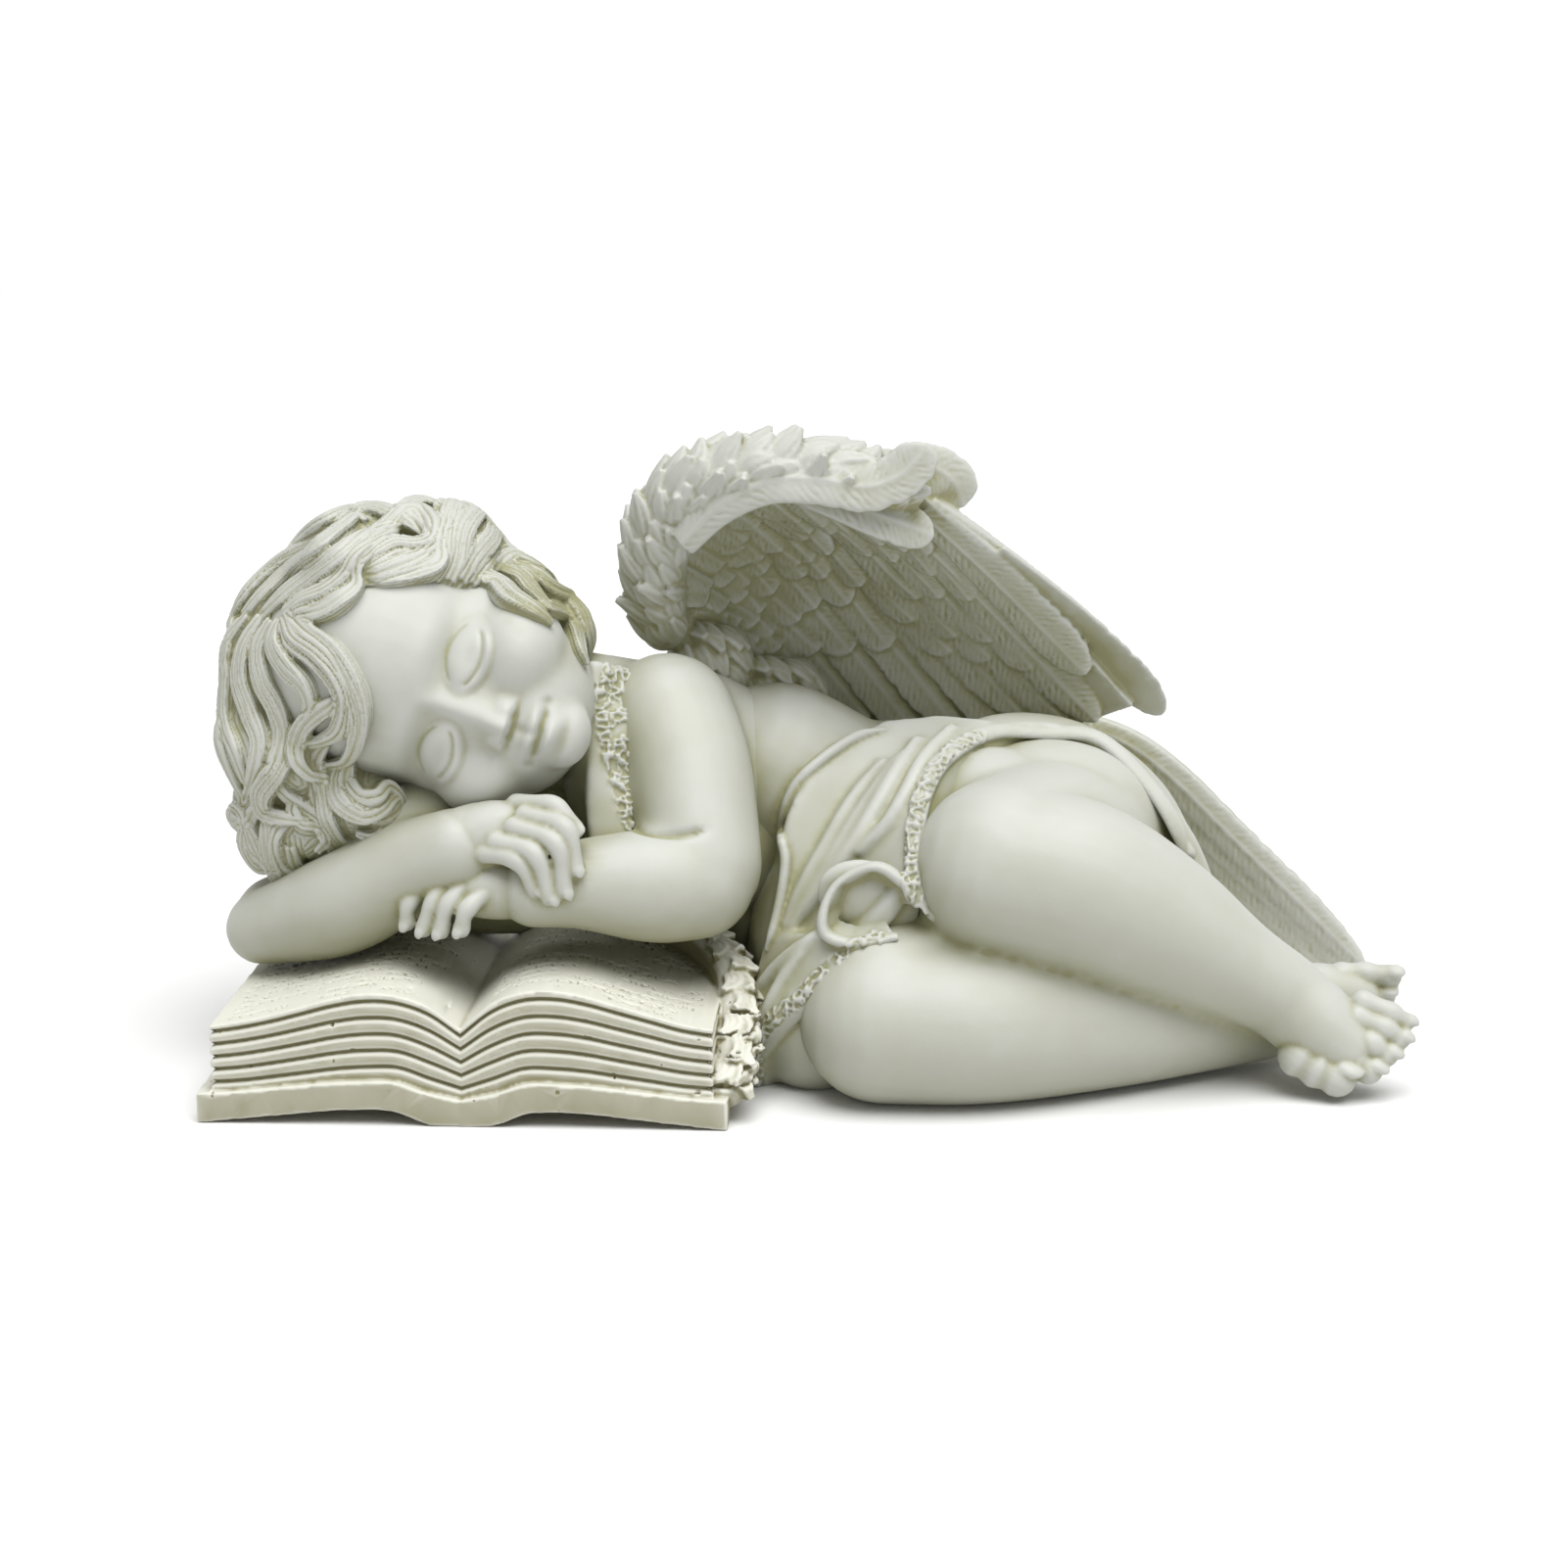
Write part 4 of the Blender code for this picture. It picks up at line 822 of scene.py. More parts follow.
def tufts(clay):
    """Small tufts of down round the rolled edge, in rows, with their tips outward."""
    path = np.array(WING_ROLL, float)
    inside = Net(UPPER_WING).at(0.5, 0.5)
    turns = (-55, -20, 15, 50, 85, 125)
    for k in range(17):
        share = 0.01 + k / 17
        x, y, z, radius = spline(path, [share])[0]
        centre = np.array([x, y, z])
        ahead = unit((spline(path, [share + 0.03]) - spline(path, [share - 0.03]))[0, :3])
        front = unit(np.array([0.0, -1.0, 0.0]) + ahead * ahead[1])
        outward = centre - inside
        outward = unit(outward - ahead * np.dot(ahead, outward))
        outward = unit(outward - front * np.dot(front, outward))
        for row, degrees in enumerate(turns):
            angle = math.radians(degrees + (17 if k % 2 else 0))
            facing = front * math.cos(angle) + outward * math.sin(angle)
            swing = 0.35 * math.sin(2.3 * k + 1.7 * row)
            way = ahead * (0.75 + swing) - front * math.sin(angle) * 0.6 + outward * math.cos(angle) * 0.6
            way = unit(way)
            bow = unit(np.cross(way, facing)) * math.sin(1.9 * k + row) * 0.25
            length = 10.5 + 2.5 * math.sin(3.1 * k + 2.2 * row)
            base = centre + facing * (radius - 1.2) - way * 3
            tuft(clay, base, way * length, (facing * 0.16 + bow) * length, facing, 6.0, 4, 0.15)


def wing_folded_mesh():
    """The folded wing behind the legs, with its tips on the ground."""
    clay = Clay()
    net = Net(REAR_WING)
    sheet(clay, net, 4.5, 90, 100)
    for face in (1, -1):
        for k in range(FLIGHT_FEATHERS):
            s = 0.03 + 0.15 * k
            look = {"rise": 1.2, "tilt": 9, "barbs": 0.45, "pitch": 2.3, "seed": 2 * k}
            feather(clay, net, face, (s, 0.35), (s, 1.0 - 0.02 * k), 11, 2.8, **look)
        for row in reversed(range(4)):
            for k in range(7):
                s = 0.03 + 0.15 * (k + 0.5 * (row % 2))
                start = 0.02 + 0.10 * row
                look = {"rise": 1.6, "tilt": 9, "barbs": 0.4, "pitch": 2.1, "seed": k + row}
                feather(clay, net, face, (s, start), (s, start + 0.22), 10.5, 2.6, **look)
    return fused(clay, voxel=0.6, smoothing=1)


# Soft creases of the skin seen from the front.
CREASES = [
    [(-46, -12.5), (-39, -14.5), (-31, -15), (-23, -13.5)],
]


def body_mesh():
    """Trunk and limbs, hands and feet."""
    base = Clay()
    base.limb([(-66, 4, 100, 21), (-48, 10, 94, 23), (-28, 14, 86, 27)])
    trunk = [(-30, 14, 86, 27), (-10, 17, 76, 28), (20, 22, 62, 30), (52, 24, 58, 33), (82, 26, 54, 34)]
    base.limb(trunk, 32)
    base.limb([(92, 12, 56, 28), (76, -16, 63, 28), (62, -37, 65, 26)], 28)
    base.ball((77, 1, 64), (38, 24, 30.5))
    base.ball((60, -8, 69), (24, 22, 25))
    shin = [(61, -38, 65, 25), (84, -40, 60, 25), (107, -40, 49, 21), (129, -39, 36, 15)]
    base.limb([*shin, (143, -38, 28, 12.5)], 28)
    base.limb([(80, 10, 34, 32), (50, -25, 27, 28), (30, -42, 24, 26)], 28)
    base.limb([(28, -46, 23, 24), (58, -46, 22, 23), (98, -34, 19, 19), (140, -18, 15, 13)], 28)
    base.limb([(143, -38, 27, 12.5), (152, -40, 20, 12.5), (159, -42, 14, 11)])
    base.limb([(138, -18, 16, 13), (154, -12, 18, 11.5), (168, -10, 18, 10)])
    base.limb([(-34, -3, 101, 20), (-28, -16, 88, 19), (-24, -32, 65, 18)])
    base.limb([(-25, -35, 61, 17), (-38, -40, 61, 16.5), (-57, -43, 62, 13), (-70, -45, 61, 11)])
    base.limb([(-20, 0, 60, 19), (-60, 6, 58, 17.5)])
    base.limb([(-50, 10, 68, 18), (-100, 5, 55, 16), (-150, -8, 43, 12)])
    base.limb([(-153, -14, 41, 11), (-128, -28, 52, 15), (-106, -36, 65, 13.5), (-92, -42, 72, 12)])
    base.ball((-107, -18, 74), (22, 16, 13))
    base.ball((-38, -14, 78), (16, 16, 18))
    base.limb([(-98, 12, 44, 12), (-82, 12, 44, 12), (-66, 12, 45, 12)])
    base.ball((-14, 10, 40), (12, 14, 14))
    mesh = refined(fused(base, voxel=1.5, smoothing=9), voxel=0.6, smoothing=3, add=hands_and_feet)
    tree = tree_of(mesh)
    ways = [seen(tree, curve(way, 50), 0.0, np.array([0.0, -60.0, 40.0]))[0] for way in CREASES]
    engrave(mesh, ways, depth=1.3, width=1.5)
    return mesh


def digit(clay, stations, radius, nail):
    """A finger or toe with thick joints, a pad and a nail that faces along nail."""
    stations = np.array(stations, float)
    shares = np.linspace(0, 1, 17)
    path = spline(stations, shares)
    swell = radius * (1.0 + 0.07 * np.cos(4 * np.pi * shares) - 0.14 * shares)
    clay.limb(np.concatenate([path, swell[:, None]], axis=1), 16, 20)
    end = stations[-1]
    way = unit(stations[-1] - stations[-2])
    nail = unit(nail - way * np.dot(nail, way))
    turn = np.stack([np.cross(nail, way), way, nail], axis=1)
    clay.ball(end + (0.4 * way + 0.8 * nail) * radius, np.array([0.62, 0.72, 0.30]) * radius, turn, 14)


def hands_and_feet(clay):
    turn = np.array(Matrix.Rotation(math.radians(-25), 3, "Y"))
    clay.ball((-86, -43, 75), (16, 8.5, 10), turn)
    clay.ball((-90, -42.5, 73), (19, 9, 11), turn)
    clay.ball((-80, -45, 61), (17, 8, 8.5))
    for finger in RIGHT_FINGERS:
        digit(clay, finger, 2.9, np.array([0.6, -0.8, 0.0]))
    for finger in LEFT_FINGERS:
        digit(clay, finger, 2.75, np.array([-0.4, -0.9, 0.1]))
    toes = [
        ((147, -46, 12), (152, -48, 9), (157, -50, 7), 6.0),
        ((156, -46, 15), (162, -48, 12), (166, -49, 9), 4.5),
        ((160, -45, 19), (167, -47, 16), (171, -47, 13), 4.1),
        ((163, -44, 23), (171, -45, 20), (175, -45, 17), 3.7),
        ((165, -42, 27), (173, -43, 24), (177, -42, 21), 3.3),
    ]
    for root, middle, tip, radius in toes:
        digit(clay, (root, middle, tip), radius, np.array([0.7, -0.5, 0.6]))
    for row in range(4):
        high = 25.5 - 6.0 * row
        stations = ((165, -11, high), (172, -11.5, high + 0.5), (179 - 1.5 * row, -12, high))
        digit(clay, stations, 3.9, np.array([0.5, -0.6, 0.6]))


BODICE = [
    [(30, 10, 96), (11, -5, 89), (1, -16, 76), (-1, -22, 63), (-3, -26, 49), (-4, -28, 33)],
    [(47, 10, 98), (28, -8, 84), (17, -20, 69), (10, -28, 54), (1, -32, 33), (-4, -32, 24)],
    [(61, 2, 97), (46, -18, 90), (39, -32, 79), (37, -42, 65), (30, -46, 55), (18, -46, 46)],
]
SKIRT = [
    [(-3, -27, 44), (-6, -28, 30), (-9, -27, 15), (-9, -24, -2)],
    [(14, -44, 47), (3, -42, 33), (-6, -38, 18), (-9, -31, -2)],
    [(29, -50, 49), (14, -51, 37), (-1, -47, 21), (-6, -36, -2)],
]
HIP = [
    [(40, -34, 78), (47, -18, 93), (66, 0, 97), (88, 3, 94), (107, -5, 81), (119, -14, 62)],
    [(40, -16, 84), (52, 4, 95), (70, 18, 97), (92, 20, 92), (112, 12, 77), (123, 4, 56)],
    [(44, 10, 90), (60, 32, 88), (78, 40, 86), (96, 42, 78), (112, 40, 62), (118, 36, 42)],
]
COLLAR = [
    [(-57, -12, 121), (-56, -20, 103), (-57, -28, 84), (-55, -34, 68)],
    [(-40, -4, 114), (-44, -14, 99), (-42, -26, 82), (-44, -34, 68)],
]
THIGH_RIM = [
    (40, -50, 55),
    (37, -46, 65),
    (38, -35, 80),
    (45, -20, 92),
    (61, -2, 98),
    (78, 4, 96),
    (93, 4, 93),
    (106, -4, 82),
    (114, -10, 72),
    (120, -12, 58),
]
SKIRT_HEM = [(31, -50, 49), (18, -52, 41), (4, -50, 28), (-5, -44, 15), (-8, -36, 3)]
COWL = [
    (38, -48, 57),
    (33, -47, 64),
    (25, -46, 68),
    (15, -46, 63),
    (11, -48, 55),
    (12, -49, 49),
    (20, -51, 47),
    (32, -51, 49),
]
DRESS_FRONT = np.array([20.0, -40.0, 60.0])
# Folds of the dress seen from the front: half width, height and way.
FOLDS = [
    (2.6, 2.6, [(30, 6.5), (20.5, -5.5), (12.5, -19.5), (6, -30.5), (0.5, -42.5)]),
    (2.6, 2.8, [(34.5, 7.5), (26.5, -4.5), (19, -16.5), (10.5, -30.5), (3, -42.5)]),
    (2.8, 2.8, [(40, 13), (33.5, 2.5), (28, -7.5), (20, -20.5), (11.5, -31.5), (5, -39.5)]),
    (2.6, 2.4, [(50, 16.5), (42, 7.5), (36.5, -3), (31, -12), (22.5, -21)]),
    (2.2, 2.0, [(11.5, -43.5), (4, -49), (-3, -55.5), (-7.5, -62.5), (-8.5, -70)]),
    (2.2, 2.0, [(8.5, -46), (1.5, -55.5), (-3, -63.5), (-7, -71)]),
]
# Edges of the dress seen from the front: round the arm, and the lace at thigh, hem and collar.
ARMHOLE = [
    (30, 16), (22.5, 14), (16, 10.5), (9.5, 5.5), (4, 0), (1, -6.5),
    (-0.5, -14), (0.5, -22), (-0.5, -31.5), (-2.5, -41.5), (-5, -49),
]
LACE_HALF_WIDTH = 3.0
LACE_FRONT = np.array([20.0, -50.0, 50.0])
LACE = [
    [(57.5, 14.5), (51, 12), (45.5, 6.5), (41.5, -1), (38.5, -9), (36.5, -17.5), (36.5, -25), (38.5, -33)],
    [(27, -45), (19, -50), (11.5, -55.5), (5, -62), (-2.5, -68.5), (-8, -75.5), (-9, -83), (-8, -89.5)],
    [(-51, 34), (-53, 22), (-51, 9), (-47, -4), (-44, -14)],
    [(-47, 34), (-49, 22), (-47, 9), (-43, -4), (-41, -12)],
]


def taper(count):
    """Shares of the full width along a ribbon that thins out at both ends."""
    return 0.3 + 0.7 * smooth_step(np.sin(np.pi * np.linspace(0.01, 0.99, count)), 0, 0.35)


def ribbon(clay, stations, half_width, half_thickness, facing):
    path = curve(stations, 12 * len(stations))
    ends = taper(len(path))
    clay.tube(path, half_width * ends, half_thickness * ends, facing, 14)


def dress_mesh():
    """The dress from the collar to the hem, with folds, rims, lace and the turned-over hem."""
    base = Clay()
    sheet(base, Net(BODICE), 7.0, 40, 36)
    sheet(base, Net(SKIRT), 7.0, 20, 20)
    sheet(base, Net(HIP), 4.0, 24, 44)
    sheet(base, Net(COLLAR), 6.0, 16, 26)
    base.ball((88, 26, 54), (30, 28, 37))
    base.limb([(-2, 18, 78, 30), (20, 22, 64, 32.5), (52, 24, 60, 35), (84, 26, 56, 36)], 32)
    base.ball((5, -5, 30), (16, 26, 34))
    base.ball((9, -28, 18), (19, 22, 22))
    base.ball((-50, -6, 88), (15, 20, 26))
    soft = fused(base, voxel=1.3, smoothing=5)
    tree = tree_of(soft)

    def drape(clay):
        for half_width, height, way in FOLDS:
            dense = curve(way, 5 * len(way))
            points, normals = seen(tree, dense, 0.35 * height, DRESS_FRONT)
            swell = 0.35 + 0.65 * np.sin(np.pi * np.linspace(0.06, 0.94, len(points))) ** 0.6
            clay.tube(points, half_width * swell, height * swell, normals, 14)

    soft = refined(soft, voxel=1.0, smoothing=4, add=drape)
    tree = tree_of(soft)

    def trim(clay):
        rim = curve(THIGH_RIM, 120)
        rim[:, 2] += 1.2 * np.sin(np.linspace(0, 11, 120)) * smooth_step(np.arange(120), 40, 60)
        clay.tube(rim, 2.8 * taper(120), 1.5 * taper(120), np.array([0.2, -0.5, 0.8]), 14)
        ribbon(clay, SKIRT_HEM, 3.2, 1.8, np.array([0.2, -1.0, 0.3]))
        cowl = curve(COWL, 90)
        swell = 1.0 + 0.25 * np.sin(np.linspace(0, 3.5 * np.pi, 90))
        clay.tube(cowl, 1.5 * swell, 2.2 * swell, np.array([0.0, -1.0, 0.0]), 14)
        inner = cowl[::8] + 0.28 * (np.array([24, -44, 57]) - cowl[::8]) + (0, 3.5, 0)
        sheet(clay, Net([cowl[::8], inner]), 2.0, 40, 8)
        clay.ball((24, -40.5, 57), (15, 4, 11), np.array(Matrix.Rotation(math.radians(20), 3, "Y")))
        rim = np.array(THIGH_RIM, float)
        sheet(clay, Net([rim + (1, 1, -1), rim + (6, 4, -6), rim + (9, 8, -14)]), 2.4, 12, 60)
        points, normals = seen(tree, curve(ARMHOLE, 60), 0.6, np.array([0.0, -20.0, 70.0]))
        clay.tube(points, 1.6 * taper(60), 1.6 * taper(60), normals, 12)

    mesh = refined(soft, voxel=0.6, smoothing=2, add=trim)
    tree = tree_of(mesh)
    places = places_of(mesh)
    normals = normals_of(mesh)
    lift = np.zeros(len(places))
    for way in LACE:
        line = seen(tree, curve(way, 70), 0.0, LACE_FRONT)[0]
        index, gap, _ = nearest(places, line, LACE_HALF_WIDTH)
        worms = np.exp(-(((value_noise(places[index], 1.7) - 0.5) / 0.13) ** 2))
        lift[index] = (1.1 * worms - 0.35) * smooth_step(LACE_HALF_WIDTH - gap, 0, 0.8)
    place(mesh, places + normals * lift[:, None])
    return mesh


# The book, in its own frame: spine along Y, pages to both sides.
BOOK_SPINE = np.array([-89.5, -71.5, 0.0])
BOOK_TURN = math.radians(-2.7)
BOOK_DEPTH = 100.0
COVER_HALF_WIDTH = 74.0
PAGE_HALF_WIDTH = 70.0
PAGE_INSET = 2.0
PAGE_BUNDLES = 6
BUNDLE_SHARE = 1 / 5.5  # of the height of the pages: the top bundle is half as thick
GROOVE_DEPTH = 1.7
GROOVE_HALF_WIDTH = 0.6
PIT_DEPTH = 0.9
PIT_SPACING = 2.6
WRITING_PITCH = 5.0
WRITING_DEPTH = 0.7
LEFT_PAGES = [27.5, 34.0, 37.0, 37.5, 36.0, 33.5, 31.0, 29.0, 27.5]
RIGHT_PAGES = [27.5, 35.0, 38.5, 39.0, 37.5, 35.0, 32.5, 30.0, 28.5]
COVER_TOP = [7.5, 9.5, 12.5, 12.5, 12.0, 11.0, 10.0, 9.0, 8.5]
COVER_UNDER = [0.0, 0.5, 4.0, 4.5, 4.0, 3.0, 2.0, 1.0, 0.0]
BORDER = [
    (-46, 5, 38, 4.5),
    (-33, -2, 37, 5.5),
    (-22, -13, 34, 6.0),
    (-15, -28, 30, 6.0),
    (-13.5, -43, 24, 6.0),
    (-14, -57, 16, 6.0),
    (-16, -66, 9, 5.0),
]


def heights(stations, shares):
    return spline(np.array(stations, float)[:, None], np.abs(shares).ravel())[:, 0].reshape(shares.shape)


def book_layer(clay, low, high, half_width, inset):
    """One layer of the book between two heights, both functions of the share out from the spine."""
    shares, depths = np.meshgrid(np.linspace(-1, 1, 121), np.linspace(0, 1, 41), indexing="ij")
    across = shares * half_width
    along = inset + (BOOK_DEPTH - 2 * inset) * depths
    clay.slab(np.stack([across, along, high(shares)], -1), np.stack([across, along, low(shares)], -1))


def page_top(shares):
    return np.where(shares < 0, heights(LEFT_PAGES, shares), heights(RIGHT_PAGES, shares))


def cover_top(shares):
    return heights(COVER_TOP, shares)


def page_low(shares):
    """The pages reach a little into the cover."""
    return cover_top(shares) - 1.0


def cover_under(shares):
    return heights(COVER_UNDER, shares)


def book_mesh():
    clay = Clay()
    book_layer(clay, page_low, page_top, PAGE_HALF_WIDTH, PAGE_INSET)
    book_layer(clay, cover_under, cover_top, COVER_HALF_WIDTH, 0.0)
    turn = np.array(Matrix.Rotation(BOOK_TURN, 3, "Z"))
    clay.points = [points @ turn.T + BOOK_SPINE for points in clay.points]
    clay.limb(BORDER, 20)
    border_leaves(clay)
    mesh = fused(clay, voxel=0.5, smoothing=1)
    groove_pages(mesh, turn)
    write_pages(mesh, turn)
    pit(mesh)
    return mesh


def groove_pages(mesh, turn):
    """Grooves round the page block, which part it into bundles of pages."""
    places = places_of(mesh)
    normals = normals_of(mesh)
    local = (places - BOOK_SPINE) @ turn
    shares = np.clip(local[:, 0] / PAGE_HALF_WIDTH, -1, 1)
    low = page_low(shares)
    height = page_top(shares) - low
    level = (local[:, 2] - low) / height
    outside = np.abs(local[:, 0]) > PAGE_HALF_WIDTH - 1
    outside |= np.abs(local[:, 1] - BOOK_DEPTH / 2) > BOOK_DEPTH / 2 - PAGE_INSET - 1
    outside &= (level > 0.07) & (level < 0.99) & (normals[:, 2] < 0.6)
    bundle = np.clip(np.round(level / BUNDLE_SHARE), 1, PAGE_BUNDLES - 1)
    away = (level - bundle * BUNDLE_SHARE) * height
    depth = GROOVE_DEPTH * outside * np.exp(-((away / GROOVE_HALF_WIDTH) ** 2))
    place(mesh, places - normals * depth[:, None])


def pit(mesh):
    """Small round pits that the casting left here and there."""
    places = places_of(mesh)
    depth = PIT_DEPTH * smooth_step(value_noise(places, PIT_SPACING), 0.93, 0.985)
    place(mesh, places - normals_of(mesh) * depth[:, None])


def border_leaves(clay):
    path = np.array(BORDER, float)
    for k in range(11):
        share = 0.03 + k / 11.5
        x, y, z, radius = spline(path, [share])[0]
        ahead = unit((spline(path, [share + 0.05]) - spline(path, [share - 0.05]))[0, :3])
        for n, facing in enumerate(((0.2, -0.3, 1.0), (0.7, -0.5, 0.6), (1.0, -0.6, 0.0))):
            facing = np.array(facing)
            facing = unit(facing - ahead * np.dot(ahead, facing))
            side = np.cross(ahead, facing) * (1 if (k + n) % 2 else -1)
            way = unit(ahead + side * 0.8)
            base = np.array([x, y, z]) - side * 3 + facing * (radius - 1.8)
            tuft(clay, base, way * 11.0, (facing * 0.12 - side * 0.85) * 11.0, facing, 6.0, 3, 0.1)


def write_pages(mesh, turn):
    """Rows of shallow strokes that stand for writing, on the tops of the pages."""
    places = places_of(mesh)
    normals = normals_of(mesh)
    local = (places - BOOK_SPINE) @ turn
    share = local[:, 0] / PAGE_HALF_WIDTH
    top = (np.abs(local[:, 2] - page_top(np.clip(share, -1, 1))) < 1.5) & (normals[:, 2] > 0.6)
    top &= (np.abs(share) < 0.94) & (np.abs(share) > 0.12) & (local[:, 1] > 5) & (local[:, 1] < 92)
    index = np.nonzero(top)[0]
    across = local[index, 0]
    along = local[index, 1] + 0.8 * np.sin(0.15 * across)
    row = np.floor(along / WRITING_PITCH)
    up = along - (row + 0.5) * WRITING_PITCH
    cell = np.stack([across, row * 37.0, 0 * across], -1)
    word = smooth_step(value_noise(cell, 9.0), 0.40, 0.52)
    stroke = value_noise(np.stack([across, along * 0.8 + row * 11, 0 * across], -1), 1.15)
    ink = np.exp(-(((stroke - 0.5) / 0.10) ** 2)) * np.exp(-((up / 1.5) ** 4)) * word
    lift = np.zeros(len(places))
    lift[index] = -WRITING_DEPTH * ink
    place(mesh, places + normals * lift[:, None])


def smoothed_places(mesh, iterations):
    copy = modified(mesh.copy(), ("SMOOTH", {"factor": 0.5, "iterations": iterations}))
    places = places_of(copy)
    bpy.data.meshes.remove(copy)
    return places


def cad_tree():
    """The solids as one tree, in the figure's frame."""
    points = []
    faces = []
    for node in ("angel", "open_book"):
        mesh = bpy.data.objects[node].data
        count = len(points)
        points += [tuple(p) for p in places_of(mesh) / MILLIMETRE + ORIGIN]
        faces += [[count + v for v in polygon.vertices] for polygon in mesh.polygons]
    return BVHTree.FromPolygons(points, faces)


def sky_rays(count):
    """Directions spread evenly over a sphere."""
    k = np.arange(count) + 0.5
    z = 1 - 2 * k / count
    angle = np.pi * (1 + 5**0.5) * k
    return np.stack([np.sqrt(1 - z * z) * np.cos(angle), np.sqrt(1 - z * z) * np.sin(angle), z], -1)


# The rays that feel how open the air is, for the shade painted into the colour: their number, their start and
# reach from the surface, how flat they may lie, the cell in which they are shared, and the share of the light
# from the ground that is lacking, which is painted as shade too.
OCCLUSION_RAYS = 28
OCCLUSION_START = 4.0
OCCLUSION_REACH = 45.0
FLATTEST_RAY = 0.15
OCCLUSION_CELL = 3.0
GROUND_SHADE = 0.55


def shade_from_occlusion(places, normals, tree):
    """How much of the open air each place lacks, from 0 to 1, worked out once for each small cell: painted
    shade.
    """
    cells = np.floor(places / OCCLUSION_CELL).astype(np.int64)
    octant = (normals > 0).astype(np.int64) @ np.array([1, 2, 4])
    key = ((cells[:, 0] + 500) * 1000 + cells[:, 1] + 500) * 1000 * 8 + (cells[:, 2] + 500) * 8 + octant
    _, first, inverse = np.unique(key, return_index=True, return_inverse=True)
    rays = sky_rays(OCCLUSION_RAYS)
    painted_shade = np.zeros(len(first))
    for n, i in enumerate(first):
        normal = normals[i]
        start = Vector(places[i] + normal * OCCLUSION_START)
        blocked = 0
        total = 0
        for ray in rays:
            if np.dot(ray, normal) < FLATTEST_RAY:
                continue
            total += 1
            if tree.ray_cast(start, Vector(ray), OCCLUSION_REACH)[0] is not None:
                blocked += 1
            # A ray that runs down to the ground adds painted shade, as the ground gives less light.
            elif ray[2] < 0:
                blocked += GROUND_SHADE
        painted_shade[n] = blocked / max(total, 1)
    return painted_shade[inverse.reshape(-1)]


def spread(mesh, values, rounds):
    """Evens the values out over neighbouring points."""
    a, b = values_of(mesh.edges, "vertices", 2, np.int32).T
    degree = np.bincount(a, minlength=len(values)) + np.bincount(b, minlength=len(values))
    for _ in range(rounds):
        total = np.bincount(a, values[b], len(values)) + np.bincount(b, values[a], len(values))
        values = 0.5 * values + 0.5 * total / np.maximum(degree, 1)
    return values


# Painted shade seen from the front, and painted light where the share is below 0: the piece, and the middle,
# radius and share.
SHADE_ZONES = [
    ("angel_hair", (-66, 57), 15, 0.7),
    ("angel_wing_raised", (-28, 60), 5, 0.5),
    ("angel_wing_raised", (-42, 66), 17, -0.35),
    ("angel_wing_raised", (-24, 88), 14, -0.35),
    ("angel_wing_raised", (2, 96), 14, -0.35),
    ("angel_dress", (66, 2), 9, 0.25),
]
# Painted shade by how a face lies: the share kept on a piece's level and steep faces, and the shade added on
# its steep ones.
STEEP_FACE_SHADE = {"open_book_carved": (0.25, 1.0, 0.45), "angel_head": (0.3, 0.3, 0.0)}


# Hollows from fine to broad: rounds of smoothing that level them, full depth, and weight in the wash.
HOLLOWS = ((3, 0.12, 0.30), (14, 0.5, 0.40), (60, 1.5, 0.35))


def view_of(places):
    """(across, up) at which the camera sees the places."""
    sight = places - camera_place()
    far = sight @ np.array([0, math.cos(CAMERA_TILT), -math.sin(CAMERA_TILT)])
    high = sight @ np.array([0, math.sin(CAMERA_TILT), math.cos(CAMERA_TILT)])
    return CAMERA_DISTANCE * sight[:, 0] / far, CAMERA_DISTANCE * high / far


def paint(name, mesh, tree):
    """Stores how much olive lies on each point: the wash in the hollows, and painted shade where the air is
    closed in.
    """
    places = places_of(mesh)
    normals = normals_of(mesh)
    hollow = np.zeros(len(places))
    for iterations, depth, weight in HOLLOWS:
        sunk = ((smoothed_places(mesh, iterations) - places) * normals).sum(-1)
        hollow += weight * np.clip(sunk / depth, -0.6, 1.0)
    # Painted shade where the air is closed in, and on faces whose rays run down to the ground.
    painted_shade = spread(mesh, shade_from_occlusion(places, normals, tree), 30)
    across, up = view_of(places)
    # Painted shade in the listed zones, and painted light where a zone's share is below 0.
    for zone_piece, (zone_across, zone_up), radius, share in SHADE_ZONES:
        if zone_piece == name:
            gap = np.hypot(across - zone_across, up - zone_up) / radius
            painted_shade += share * np.exp(-(gap**4)) * smooth_step(24 - places[:, 1], 0, 16)
    # Painted shade weighed by how steep each face is, on the listed pieces.
    if name in STEEP_FACE_SHADE:
        kept_level, kept_steep, added = STEEP_FACE_SHADE[name]
        level = smooth_step(normals[:, 2], 0.3, 0.7)
        kept = kept_steep + (kept_level - kept_steep) * level
        painted_shade = spread(mesh, painted_shade * kept + added * (1 - level), 3)
    for name, values in (("hollow", hollow), ("painted_shade", painted_shade)):
        attribute = mesh.attributes.new(name, "FLOAT", "POINT")
        attribute.data.foreach_set("value", values.astype(np.float32))


def in_row(mesh):
    """Moves a mesh from the figure's frame to the row's, in metres."""
    place(mesh, (places_of(mesh) - ORIGIN) * MILLIMETRE)


